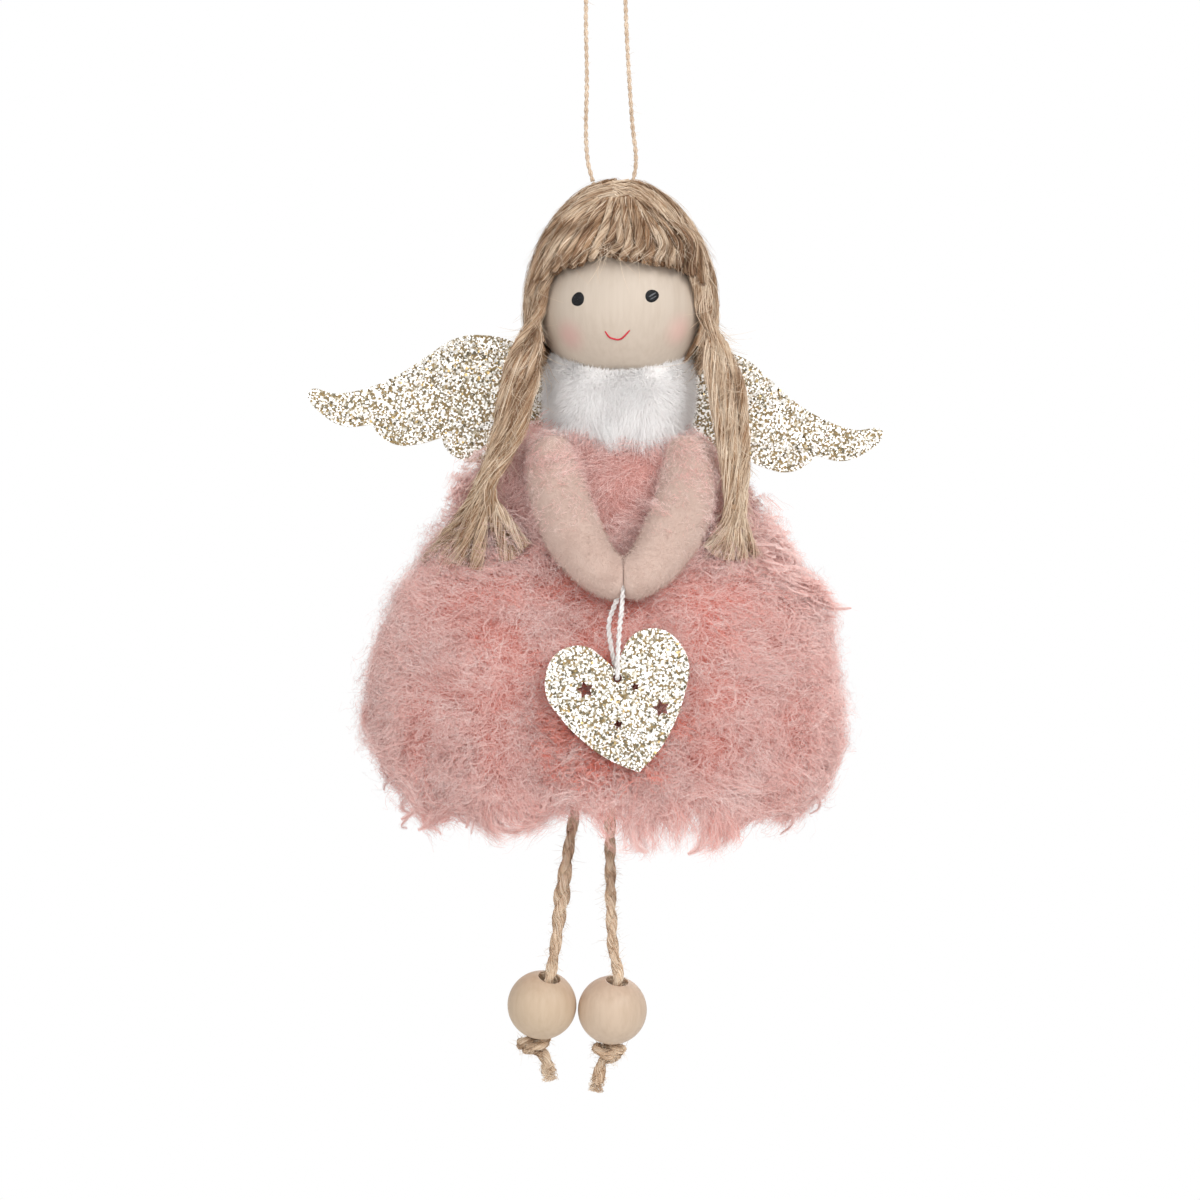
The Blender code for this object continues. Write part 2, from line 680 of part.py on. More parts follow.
def wing_slab_mesh(name):
    """The room of the wing plate behind the dress, with a gap in front of it."""
    return box_mesh(name, (-70.0, WING_FRONT_Y - GAP, WING_MIDDLE_Z - 14.0),
                    (70.0, WING_FRONT_Y + 40.0, WING_MIDDLE_Z + 30.0))


def make_dress_bodice():
    bodice = add_mesh("dress_bodice", loft_mesh("dress_bodice", BODICE_RINGS, DRESS_X), PARTS, FUR)
    cut(bodice, loft_mesh("bodice_core_seat", BODY_RINGS, BODY_X, GAP), "bodice_core_seat")
    cut_shoulders(bodice, "bodice")
    cut(bodice, wing_slab_mesh("bodice_wing_seat"), "bodice_wing_seat")
    shade(bodice)
    return bodice


def skirt_surface(name):
    """The outside of the skirt as an open sheet, with folds that deepen towards a scalloped hem."""
    steps = SKIRT_FOLDS * FOLD_STEPS
    top = SKIRT_RINGS[0][0]
    bottom = SKIRT_RINGS[-1][0]
    build = bmesh.new()
    rows = []
    for z, a, b in SKIRT_RINGS:
        drop = (top - z) / (top - bottom)
        row = []
        for k in range(steps):
            angle = 2 * math.pi * k / steps
            fold = math.cos(SKIRT_FOLDS * angle)
            reach = SKIRT_FOLD_DEPTH * drop * fold
            z_here = z - HEM_SCALLOP * drop ** 3 * (0.5 + 0.5 * fold)
            row.append(build.verts.new(vec((DRESS_X + (a + reach) * math.cos(angle),
                                            (b + reach) * math.sin(angle), z_here))))
        rows.append(row)
    for upper, lower in zip(rows, rows[1:]):
        for k in range(steps):
            n = (k + 1) % steps
            build.faces.new((upper[k], lower[k], lower[n], upper[n]))
    bmesh.ops.recalc_face_normals(build, faces=build.faces)
    mesh = bpy.data.meshes.new(name)
    build.to_mesh(mesh)
    build.free()
    return mesh


def make_dress_skirt():
    skirt = add_mesh("dress_skirt", skirt_surface("dress_skirt"), PARTS, FUR)
    wall = skirt.modifiers.new("wall", "SOLIDIFY")
    wall.thickness = SKIRT_WALL * MM
    wall.offset = -1.0
    wall.use_even_offset = True
    cut(skirt, loft_mesh("skirt_core_seat", BODY_RINGS, BODY_X, GAP), "skirt_core_seat")
    shade(skirt, 60.0)
    return skirt


def make_arm(name, route, side):
    """A stuffed arm that swells below the shoulder and narrows to the hand."""
    points = smooth_route(route, 3.6)
    radii = (SHOULDER_RADIUS * 0.98, ARM_RADIUS * 0.97, ARM_RADIUS, ARM_RADIUS, 0.86 * ARM_RADIUS,
             HAND_RADIUS)
    shares = [r / ARM_RADIUS for r in spread_shares(radii, len(points))]
    arm = add_mesh(name, tube_mesh(name, points, ARM_RADIUS, 3, shares), PARTS, FLEECE)
    cut(arm, loft_mesh(f"{name}_bodice", BODICE_RINGS, DRESS_X, GAP), f"{name}_bodice")
    ball = f"{name}_shoulder"
    join(arm, sphere_mesh(ball, route[0], SHOULDER_RADIUS, 20, 12), ball)
    reach = 40.0
    low = [HANDS_X - reach, HANDS_Y - reach, HANDS_Z - reach]
    high = [HANDS_X + reach, HANDS_Y + reach, HANDS_Z + reach]
    if side < 0:
        low[0] = HANDS_X - GAP / 2
    else:
        high[0] = HANDS_X + GAP / 2
    cut(arm, box_mesh(f"{name}_hand_face", low, high), f"{name}_hand_face")
    crease = HEART_CORD / 2 + JOINT_GAP
    section = [(CORD_RING_RADIUS + crease * math.cos(a), crease * math.sin(a))
               for a in (math.radians(67.5 - 45 * k) for k in range(8))]
    turn = Matrix.Rotation(math.radians(90.0), 3, "Y")
    groove = turned_mesh(f"{name}_crease", section, (HANDS_X, HANDS_Y, HANDS_Z), 32, 1.0, turn)
    cut(arm, groove, f"{name}_crease")
    shade(arm)
    return arm


def heart_point(across, up):
    """A point of the heart's own plane, from its notch, as world X and Z."""
    tilt = math.radians(HEART_TILT_DEG)
    return (HEART_NOTCH_X + across * math.cos(tilt) - up * math.sin(tilt),
            HEART_NOTCH_Z + across * math.sin(tilt) + up * math.cos(tilt))


def heart_hole():
    return heart_point(0.0, -HEART_HOLE_DROP)


def heart_cord_route():
    """From behind the hands over their join, down in front, through the heart and back up."""
    hole_x, hole_z = heart_hole()
    ring = CORD_RING_RADIUS
    back = HEART_Y + HEART_THICKNESS / 2 + GAP + HEART_CORD / 2
    front = HEART_Y - HEART_THICKNESS / 2 - GAP - HEART_CORD / 2
    over = [(HANDS_X, HANDS_Y + ring * math.cos(turn), HANDS_Z + ring * math.sin(turn))
            for turn in (math.radians(-30 + 35 * k) for k in range(7))]
    return (*over,
            (2.5, -37.3, -144.6), (2.3, front, -150.0), (hole_x + 0.1, front, -155.5),
            (hole_x, front + 0.1, hole_z + 0.6), (hole_x, HEART_Y, hole_z), (hole_x, back, hole_z + 0.6),
            (0.9, back + 0.2, -155.0), (0.1, back - 0.3, -149.5),
            (0.9, -33.2, -145.9), (HANDS_X - 0.2, HANDS_Y + 0.45 * ring, HANDS_Z - 0.94 * ring))


def make_heart_cord():
    points = smooth_route(heart_cord_route(), 2.0 * HEART_CORD)
    mesh = tube_mesh("heart_cord", points, HEART_CORD / 2)
    return add_mesh("heart_cord", mesh, PARTS, WHITE_CORD)


def make_heart_cord_knot():
    """The small knot behind the hands that closes the cord's loop."""
    route = heart_cord_route()
    start, end = Vector(route[0]), Vector(route[-1])
    outward = Vector((0.0, 0.78, -0.62))
    place = (start + end) / 2 + outward * (HEART_CORD / 2 + STRING_KNOT_RADIUS * 0.75)
    knot = add_mesh("heart_cord_knot", sphere_mesh("heart_cord_knot", place, STRING_KNOT_RADIUS, 14, 10,
                                                   (1.25, 1, 1)), PARTS, WHITE_CORD)
    grown = tube_mesh("knot_cord_seat", smooth_route(route, 2.0 * HEART_CORD), HEART_CORD / 2 + GAP)
    cut(knot, grown, "knot_cord_seat")
    shade(knot)
    return knot


def plate_curve(name, splines, thickness, y, turn_matrix, grow=0.0):
    """A flat plate from closed outlines; the inner ones are its cut-outs."""
    curve = bpy.data.curves.new(name, "CURVE")
    curve.dimensions = "2D"
    curve.fill_mode = "BOTH"
    curve.extrude = (thickness / 2 + grow) * MM
    curve.offset = grow * MM
    curve.resolution_u = 6
    for kind, points in splines:
        spline = curve.splines.new("BEZIER" if kind == "smooth" else "POLY")
        spline.use_cyclic_u = True
        if kind == "smooth":
            spline.bezier_points.add(len(points) - 1)
            for bezier, (x, up, sharp) in zip(spline.bezier_points, points):
                bezier.co = vec((x, up, 0.0))
                handle = "VECTOR" if sharp else "AUTO"
                bezier.handle_left_type = handle
                bezier.handle_right_type = handle
        else:
            spline.points.add(len(points) - 1)
            for target, (x, up) in zip(spline.points, points):
                target.co = (*vec((x, up, 0.0)), 1.0)
    obj = bpy.data.objects.new(name, curve)
    bpy.context.scene.collection.objects.link(obj)
    stand = Matrix.Rotation(math.radians(90.0), 4, "X")
    obj.matrix_world = Matrix.Translation(vec((0, y, 0))) @ turn_matrix @ stand
    bpy.context.view_layer.update()
    return curve_to_mesh(obj, name)


def heart_outline():
    """Right half of the heart from the notch to the tip, mirrored for the left."""
    w, h, r = HEART_HALF_WIDTH, HEART_HEIGHT, HEART_LOBE_RISE
    half = ((0.15 * w, 0.5 * r, False), (0.30 * w, 0.86 * r, False), (0.53 * w, r, False),
            (0.78 * w, 0.82 * r, False), (0.95 * w, 0.28 * r, False), (0.995 * w, -0.10 * h, False),
            (0.90 * w, -0.29 * h, False), (0.68 * w, -0.56 * h, False), (0.36 * w, -0.82 * h, False))
    left = [(-x, up, sharp) for x, up, sharp in reversed(half)]
    return [(0.0, 0.0, True), *half, (0.0, -h, True), *left]


def star_outline(x, up, radius):
    points = []
    for k in range(10):
        reach = radius * (1.0 if k % 2 == 0 else STAR_WAIST)
        angle = math.radians(90 + 36 * k)
        points.append((x + reach * math.cos(angle), up + reach * math.sin(angle)))
    return points


def circle_outline(x, up, radius, count=14):
    return [(x + radius * math.cos(2 * math.pi * k / count), up + radius * math.sin(2 * math.pi * k / count))
            for k in range(count)]


def make_heart():
    splines = [("smooth", heart_outline())]
    splines += [("plain", star_outline(*star)) for star in STARS]
    splines.append(("plain", circle_outline(0.0, -HEART_HOLE_DROP, HEART_HOLE_RADIUS)))
    place = Matrix.Translation(vec((HEART_NOTCH_X, 0, HEART_NOTCH_Z)))
    turn = Matrix.Rotation(math.radians(-HEART_TILT_DEG), 4, "Y")
    mesh = plate_curve("heart", splines, HEART_THICKNESS, HEART_Y, place @ turn)
    heart = add_mesh("heart", mesh, PARTS, GLITTER)
    shade(heart, 30.0)
    return heart


def wing_outline():
    """Half of the wing plate from the middle of its top to the middle of its bottom."""
    half = ((9.0, 6.5, False), (18.5, 14.0, False), (25.0, 15.4, False), (32.0, 14.3, False),
            (38.0, 10.0, False), (44.5, 5.1, False), (51.2, 1.8, False), (57.5, 0.2, False),
            (63.9, 0.2, False), (63.3, -1.8, False), (61.3, -3.9, False), (55.6, -6.8, False),
            (49.2, -6.0, True), (47.9, -7.8, False), (43.8, -10.1, False), (38.5, -9.6, False),
            (33.6, -7.8, True), (32.6, -10.2, False), (29.4, -12.3, False), (23.0, -12.7, False),
            (12.0, -9.6, False))
    left = [(-x, up, sharp) for x, up, sharp in reversed(half)]
    return [(0.0, 3.0, False), *half, (0.0, -7.6, False), *left]


def wing_plate_mesh(name, grow=0.0):
    place = Matrix.Translation(vec((WING_MIDDLE_X, 0, WING_MIDDLE_Z)))
    turn = Matrix.Rotation(math.radians(WING_TURN_DEG), 4, "Y")
    return plate_curve(name, [("smooth", wing_outline())], WING_THICKNESS,
                       WING_FRONT_Y + WING_THICKNESS / 2, place @ turn, grow)


def make_wings():
    wings = add_mesh("wings", wing_plate_mesh("wings"), PARTS, GLITTER)
    shade(wings, 30.0)
    return wings


def make_leg_knot(name, x):
    """The knot that holds a leg's twine under the stuffed body."""
    knot = add_mesh(name, sphere_mesh(name, (x, 0, LEG_PIVOT_Z), LEG_KNOT_RADIUS, 18, 12), PARTS, JUTE)
    shade(knot)
    return knot


def mouth(bead, axis, side):
    """Middle of the bore's mouth, above or below the bead."""
    half = math.sqrt(BEAD_RADIUS ** 2 - BEAD_BORE_RADIUS ** 2)
    return Vector(bead) + Vector(axis).normalized() * half * side


def foot_knot_centre(bead, axis):
    return mouth(bead, axis, -1) - Vector(axis).normalized() * FOOT_KNOT_SEAT


def leg_route(x, bead, axis, waypoints):
    """From under the leg's knot, down through the bead to just above the foot's knot."""
    direction = Vector(axis).normalized()
    top = mouth(bead, axis, 1)
    first = Vector(waypoints[0]) - Vector((x, 0, LEG_PIVOT_Z))
    start = Vector((x, 0, LEG_PIVOT_Z)) + first.normalized() * (LEG_KNOT_RADIUS + JOINT_GAP)
    end = foot_knot_centre(bead, axis) + direction * (FOOT_KNOT_HEIGHT / 2 + GAP)
    return (start, *waypoints, top + direction * 1.5, Vector(bead) + direction * 2.0,
            Vector(bead) - direction * 3.0, end)


def make_leg_cord(name, x, bead, axis, waypoints):
    points = smooth_route(leg_route(x, bead, axis, waypoints), 2.2 * LEG_TWINE)
    return add_mesh(name, tube_mesh(name, points, LEG_TWINE / 2), PARTS, JUTE)


LEG_LEFT_WAYPOINTS = ((-5.0, 0.0, -170.0), (-6.9, -0.3, -187.0), (-9.4, -0.8, -203.0), (-11.2, -2.4, -217.0))
LEG_RIGHT_WAYPOINTS = ((1.6, 0.0, -170.0), (0.6, -0.2, -187.0), (0.5, -0.6, -203.0), (1.0, -2.0, -218.0))


def bead_profile():
    """Outer side of the bead from its upper mouth down, then up through the bore."""
    profile = []
    start = math.asin((BEAD_BORE_RADIUS + BEAD_EASE) / BEAD_RADIUS)
    for k in range(13):
        angle = start + (math.pi - 2 * start) * k / 12
        profile.append((BEAD_RADIUS * math.sin(angle), BEAD_RADIUS * math.cos(angle)))
    inside = BEAD_RADIUS * math.cos(start) - BEAD_EASE
    profile.append((BEAD_BORE_RADIUS, -inside))
    profile.append((BEAD_BORE_RADIUS, inside))
    return profile


def make_bead(name, bead, axis):
    turn = Vector(axis).to_track_quat("Z", "Y").to_matrix()
    ball = add_mesh(name, turned_mesh(name, bead_profile(), bead, BEAD_STEPS, 1.0, turn), PARTS, WOOD)
    shade(ball, 35.0)
    return ball


def make_foot_knot(name, bead, axis, tail):
    """The knot that the bead rests on, with its loop's waist and the cut end of the twine."""
    turn = Vector(axis).to_track_quat("Z", "Y").to_matrix()
    centre = foot_knot_centre(bead, axis)
    squash = (1.0, 0.86, FOOT_KNOT_HEIGHT / FOOT_KNOT_WIDTH)
    knot = add_mesh(name, sphere_mesh(name, centre, FOOT_KNOT_WIDTH / 2, 18, 12, squash, turn), PARTS, JUTE)
    start = centre + (Vector(tail) - centre) * 0.12
    end_name = f"{name}_end"
    lock = smooth_route((start, (start + Vector(tail)) / 2, Vector(tail)), 2.4)
    shares = spread_shares((1.0, 1.0, 1.25), len(lock))
    join(knot, tube_mesh(end_name, lock, LEG_TWINE / 2, 2, shares), end_name)
    shade(knot)
    return knot


FOOT_LEFT_TAIL = (-13.2, 4.6, -246.6)
FOOT_RIGHT_TAIL = (-4.2, 4.4, -249.4)


def build():
    make_hanging_loop()
    make_loop_anchor()
    make_head_ball()
    make_hair_cap()
    make_hair_fringe()
    make_tail("hair_tail_left", tail_left_route(), TAIL_LEFT_ENDS)
    make_tail("hair_tail_right", tail_right_route(), TAIL_RIGHT_ENDS)
    make_tie("hair_tie_left", tail_left_route())
    make_tie("hair_tie_right", tail_right_route())
    make_collar()
    make_body_core()
    make_dress_bodice()
    make_dress_skirt()
    make_arm("arm_left", ARM_LEFT_ROUTE, -1)
    make_arm("arm_right", ARM_RIGHT_ROUTE, 1)
    make_heart_cord()
    make_heart_cord_knot()
    make_heart()
    make_wings()
    make_leg_knot("leg_knot_left", LEG_LEFT_X)
    make_leg_knot("leg_knot_right", LEG_RIGHT_X)
    make_leg_cord("leg_cord_left", LEG_LEFT_X, BEAD_LEFT, BEAD_LEFT_AXIS, LEG_LEFT_WAYPOINTS)
    make_leg_cord("leg_cord_right", LEG_RIGHT_X, BEAD_RIGHT, BEAD_RIGHT_AXIS, LEG_RIGHT_WAYPOINTS)
    make_bead("foot_bead_left", BEAD_LEFT, BEAD_LEFT_AXIS)
    make_bead("foot_bead_right", BEAD_RIGHT, BEAD_RIGHT_AXIS)
    make_foot_knot("foot_knot_left", BEAD_LEFT, BEAD_LEFT_AXIS, FOOT_LEFT_TAIL)
    make_foot_knot("foot_knot_right", BEAD_RIGHT, BEAD_RIGHT_AXIS, FOOT_RIGHT_TAIL)


clear_scene()
PARTS = make_collection(COLLECTION_NAME)
CUTTERS = make_collection(CUTTER_COLLECTION_NAME)
TWINE_PALE = make_material("pale_twine", (0.78, 0.66, 0.54), 0.9)
WOOD = make_material("pale_wood", (0.76, 0.62, 0.47), 0.55)
JUTE = make_material("jute", (0.46, 0.33, 0.21), 0.95)
PLUSH = make_material("white_plush", (0.86, 0.84, 0.82), 0.95)
FELT = make_material("stuffed_felt", (0.80, 0.50, 0.46), 0.95)
FUR = make_material("pink_fur", (0.75, 0.42, 0.38), 0.95)
FLEECE = make_material("peach_fleece", (0.84, 0.62, 0.52), 0.95)
WHITE_CORD = make_material("white_cord", (0.85, 0.83, 0.82), 0.8)
GLITTER = make_material("champagne_glitter", (0.72, 0.66, 0.52), 0.35, 0.6)
build()
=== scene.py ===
"""Looks of the hanging angel doll: fur, jute, plush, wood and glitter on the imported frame.

Lengths are in millimetres unless a name or a comment says otherwise.
"""

import math

import bpy
import numpy as np
from mathutils.kdtree import KDTree
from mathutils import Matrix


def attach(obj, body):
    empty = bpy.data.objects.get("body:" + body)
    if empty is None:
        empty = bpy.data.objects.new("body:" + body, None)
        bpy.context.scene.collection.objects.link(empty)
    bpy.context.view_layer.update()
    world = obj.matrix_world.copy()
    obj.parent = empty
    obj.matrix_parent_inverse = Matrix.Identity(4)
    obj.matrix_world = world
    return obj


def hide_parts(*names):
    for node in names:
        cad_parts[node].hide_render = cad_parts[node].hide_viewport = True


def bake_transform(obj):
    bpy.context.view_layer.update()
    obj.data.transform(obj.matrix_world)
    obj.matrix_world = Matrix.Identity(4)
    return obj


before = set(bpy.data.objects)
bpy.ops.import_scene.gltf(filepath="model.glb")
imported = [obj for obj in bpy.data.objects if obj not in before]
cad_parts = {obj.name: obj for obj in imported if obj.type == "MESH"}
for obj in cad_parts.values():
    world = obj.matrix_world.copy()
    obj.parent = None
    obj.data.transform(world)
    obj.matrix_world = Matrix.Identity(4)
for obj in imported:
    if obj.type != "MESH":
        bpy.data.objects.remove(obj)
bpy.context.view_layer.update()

MM = 0.001
TRIANGLE_LIMIT = 190000  # of one piece

# Camera: the photograph's centre lies on this axis, at this distance
CAMERA_X = -1.74
CAMERA_Z = -143.48
CAMERA_DISTANCE = 900.0
FRAME_SIDE = 260.9  # width of the view at the doll
SENSOR = 36.0

# Surroundings: each lamp's place, side and power in watts; all point at one height on the doll
LAMPS = {
    "key_light": ((520, -600, 300), 420, 3.9),
    "fill_light": ((-560, -620, 80), 600, 1.8),
    "front_light": ((60, -820, 60), 420, 1.9),
    "back_light": ((160, 620, 380), 500, 4.0),
}
LAMP_TARGET = (0.0, 0.0, -130.0)
WORLD_LIGHT = 0.43
FLOOR_Z = -375.0
FLOOR_RADIUS = 480.0

# Clearances, as in the frame
GAP = 0.3
JOINT_GAP = 0.35

# Head and hair, as in the frame
HEAD = np.array((2.8, 0.0, -79.6))
HEAD_RADIUS = 18.0
HEAD_BORE_RADIUS = 2.6
CAP_RADIUS = 21.3
CAP_RISE = 28.1
CAP_NAPE_DROP = 15.6
PARTING_Y = -4.3

# Twines and fibres: diameters and widths
LOOP_TWINE = 0.9
LEG_TWINE = 2.3
HEART_CORD = 1.0
JUTE_FIBRE = 0.13
JUTE_STRAY = 0.075
YARN_CORE = 1.3
FUZZ_STEPS = 5  # points along a twine's loose hair
STRAY_STEPS = 9  # points along a loose hair of the head
FRINGE_STRAY_REACH = 23.0  # of the fringe's loose hairs from the head's middle

# Hanging loop: where it leaves the crown, and its strands and knot inside the head
CROWN_EXIT_LEFT = -3.3
CROWN_EXIT_RIGHT = 5.4
CROWN_EXIT_Z = -52.425
LOOP_PITCH = 3.4  # length of one turn of its plies
STRAND_OFFSET = 0.65  # of each strand from the head's middle
ANCHOR_KNOT_Z = -100.0

# Hands and heart
HANDS = np.array((3.1, -32.0, -139.2))
CORD_RING = 1.9  # radius of the cord's way round the hands
HEART_Y = -36.0
HEART_THICKNESS = 2.0
HEART_NOTCH_X = 1.5
HEART_NOTCH_Z = -158.1
HEART_TILT_DEG = 13.0
HEART_HOLE_DROP = 1.7  # below the notch

# Dress: height, half width and half depth of the fur's outside
DRESS_X = -0.6
DRESS_RINGS = np.array((
    (-107.0, 18.0, 12.0), (-112.0, 24.2, 14.6), (-117.0, 29.2, 16.6), (-124.0, 32.8, 18.4),
    (-130.0, 35.0, 19.7), (-135.0, 37.0, 21.0), (-139.0, 41.6, 23.4), (-145.0, 45.4, 25.8),
    (-152.0, 47.8, 27.6), (-160.0, 49.6, 28.8), (-168.0, 50.4, 29.6), (-176.0, 49.4, 29.8),
    (-183.0, 46.8, 29.2), (-189.0, 44.4, 28.4)))
WAIST_Z = -135.0
SKIRT_DROP = 54.0  # from the waist to the hem
SKIRT_FOLDS = 12
SKIRT_FOLD_DEPTH = 1.5
BACKING_DEPTH = 4.2  # backing cloth below the fur's outside


def unit(v):
    """Vectors of length 1 in the same directions."""
    return v / np.maximum(np.linalg.norm(v, axis=-1, keepdims=True), 1e-9)


def at_height(table, z, column=1):
    """A column of a table whose rows start with a falling height, at the height z."""
    return np.interp(-z, -table[:, 0], table[:, column])


def smooth_route(points, step):
    """Evenly spaced points on a smooth curve through the route's own points."""
    knots = np.asarray(points, float)
    ends = np.vstack([2 * knots[0] - knots[1], knots, 2 * knots[-1] - knots[-2]])
    t = np.linspace(0, 1, 16, endpoint=False)[:, None]
    fine = [0.5 * (2 * b + (c - a) * t + (2 * a - 5 * b + 4 * c - d) * t ** 2
                   + (3 * b - a - 3 * c + d) * t ** 3)
            for a, b, c, d in zip(ends, ends[1:], ends[2:], ends[3:])]
    fine = np.vstack([*fine, knots[-1:]])
    run = run_length(fine)
    goals = np.linspace(0, run[-1], max(2, round(run[-1] / step)) + 1)
    return np.column_stack([np.interp(goals, run, fine[:, k]) for k in range(3)])


def resampled(path, steps):
    """The same path in a set number of points."""
    at = np.linspace(0, len(path) - 1, steps)
    return np.column_stack([np.interp(at, np.arange(len(path)), path[:, k]) for k in range(3)])


def run_length(path):
    """Distance from the start to each point of a path."""
    return np.concatenate([[0.0], np.cumsum(np.linalg.norm(np.diff(path, axis=0), axis=1))])


ODD_WAY = (0.31, 0.95, 0.05)  # a direction that no line here starts along


def frames(lines):
    """Direction of each line and two directions across it, carried along with little turn."""
    along = unit(np.gradient(lines, axis=-2))
    across = np.empty_like(lines)
    across[..., 0, :] = unit(np.cross(along[..., 0, :], ODD_WAY))
    for k in range(1, lines.shape[-2]):
        carried = across[..., k - 1, :]
        off = (carried * along[..., k, :]).sum(-1, keepdims=True)
        across[..., k, :] = unit(carried - off * along[..., k, :])
    return along, across, np.cross(along, across)


def out_of(path, at, turn):
    """Directions along a path and straight out of it, at chosen points and turns."""
    along, across, other = frames(path[None])
    return along[0][at], np.cos(turn) * across[0][at] + np.sin(turn) * other[0][at]


def ring_faces(rings, around, closed=False):
    """Faces between rings of points; closed joins the last ring to the first."""
    index = np.arange(rings * around).reshape(rings, around)
    if closed:
        index = np.vstack([index, index[:1]])
    after = np.roll(index, -1, axis=1)
    return np.stack([index[:-1], index[1:], after[1:], after[:-1]], -1).reshape(-1, 4)


def tubes(lines, radii, sides):
    """Points and faces of a tube round each line."""
    count, steps, _ = lines.shape
    _, across, other = frames(lines)
    turn = 2 * np.pi * np.arange(sides) / sides
    ring = (np.cos(turn)[:, None] * across[:, :, None] + np.sin(turn)[:, None] * other[:, :, None])
    radii = np.broadcast_to(radii, (count, steps))
    points = lines[:, :, None] + radii[:, :, None, None] * ring
    index = np.arange(count * steps * sides).reshape(count, steps, sides)
    after = np.roll(index, -1, axis=2)
    faces = np.stack([index[:, :-1], after[:, :-1], after[:, 1:], index[:, 1:]], -1)
    return points.reshape(-1, 3), faces.reshape(-1, 4)


def ribbons(lines, widths, rng, facing=None, scatter=0.8, soft=0.6):
    """Points, faces and normals of a flat fibre along each line.

    With facing, the flat side turns about that way, and soft is how far its shading follows it.
    """
    count, steps, _ = lines.shape
    along, across, other = frames(lines)
    if facing is None:
        turn = rng.uniform(0, np.pi, (count, 1, 1))
        side = np.cos(turn) * across + np.sin(turn) * other
        normal = np.cross(side, along)
    else:
        flat = np.cross(along, facing[:, None])
        weak = np.linalg.norm(flat, axis=-1, keepdims=True) < 0.25
        flat = np.where(weak, across, unit(flat))
        turn = np.clip(rng.normal(0, scatter, (count, 1, 1)), -1.4, 1.4)
        side = np.cos(turn) * flat + np.sin(turn) * np.cross(along, flat)
        normal = np.cross(side, along)
        toward = (normal * facing[:, None]).sum(-1, keepdims=True)
        side = np.where(toward < 0, -side, side)
        normal = unit((1 - soft) * np.where(toward < 0, -normal, normal) + soft * facing[:, None])
    half = np.broadcast_to(widths, (count, steps))[:, :, None] / 2
    points = np.stack([lines - half * side, lines + half * side], 2)
    index = np.arange(count * steps * 2).reshape(count, steps, 2)
    faces = np.stack([index[:, :-1, 0], index[:, :-1, 1], index[:, 1:, 1], index[:, 1:, 0]], -1)
    normals = None if facing is None else np.repeat(normal, 2, axis=1).reshape(-1, 3)
    return points.reshape(-1, 3), faces.reshape(-1, 4), normals


def add_piece(name, points, faces, material, rides, smooth=True, normals=None):
    """A mesh piece in the frame that rides on a body, or stays loose in the frame when given two."""
    mesh = bpy.data.meshes.new(name)
    corners = faces.shape[1]
    mesh.vertices.add(len(points))
    mesh.vertices.foreach_set("co", (np.asarray(points, np.float32) * MM).ravel())
    mesh.loops.add(faces.size)
    mesh.loops.foreach_set("vertex_index", faces.astype(np.int32).ravel())
    mesh.polygons.add(len(faces))
    mesh.polygons.foreach_set("loop_start", np.arange(0, faces.size, corners, dtype=np.int32))
    mesh.polygons.foreach_set("use_smooth", np.full(len(faces), smooth))
    mesh.update(calc_edges=True)
    if normals is not None:
        mesh.normals_split_custom_set_from_vertices(normals.astype(np.float32))
    mesh.materials.append(material)
    piece = bpy.data.objects.new(name, mesh)
    bpy.context.scene.collection.objects.link(piece)
    if isinstance(rides, str):
        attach(piece, rides)
    else:
        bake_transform(piece)
    return piece


def add_fibres(name, lines, widths, shades, rides, rng, sides=0, facing=None, scatter=0.8, soft=0.6):
    """Fibres dealt out over several shades: ribbons, or tubes where sides are given."""
    count, steps, _ = lines.shape
    widths = np.broadcast_to(widths, (count, steps))
    per_fibre = (steps - 1) * 2 * max(1, sides)
    most = TRIANGLE_LIMIT // per_fibre
    pieces = []
    for k, material in enumerate(shades):
        part, wide = lines[k::len(shades)], widths[k::len(shades)]
        out = None if facing is None else facing[k::len(shades)]
        for low in range(0, len(part), most):
            some, width = part[low:low + most], wide[low:low + most]
            normals = None
            if sides:
                points, faces = tubes(some, width / 2, sides)
            else:
                points, faces, normals = ribbons(some, width, rng, None if out is None else out[low:low + most],
                                                 scatter, soft)
            label = f"{name}_{k}" if low == 0 else f"{name}_{k}_{low // most}"
            pieces.append(add_piece(label, points, faces, material, rides, True, normals))
    return pieces


def add_yarns(name, lines, paths, count, width, shades, rides, rng, scatter=0.5):
    """Yarns of count fibres each round their paths; a yarn keeps mostly to one shade."""
    own = np.repeat(rng.integers(0, len(shades), len(lines) // count), count)
    shade = np.where(rng.random(len(lines)) < 0.5, own, rng.integers(0, len(shades), len(lines)))
    facing = away_from(lines, paths, count)
    for k, material in enumerate(shades):
        pick = shade == k
        add_fibres(f"{name}_{k}", lines[pick], width, (material,), rides, rng, facing=facing[pick],
                   scatter=scatter)


def turned(profile, steps, centre_x=0.0, depth=1.0):
    """Points and faces of a profile of radius and height turned about Z; depth is a share of the width."""
    profile = np.asarray(profile, float)
    angles = np.linspace(0, 2 * np.pi, steps, endpoint=False)
    points = np.stack([centre_x + np.outer(np.cos(angles), profile[:, 0]),
                       depth * np.outer(np.sin(angles), profile[:, 0]),
                       np.tile(profile[:, 1], (steps, 1))], -1)
    index = np.arange(points.shape[0] * points.shape[1]).reshape(points.shape[:2])
    index = np.vstack([index, index[:1]])
    faces = np.stack([index[:-1, :-1], index[1:, :-1], index[1:, 1:], index[:-1, 1:]], -1)
    return points.reshape(-1, 3), faces.reshape(-1, 4)


# Materials


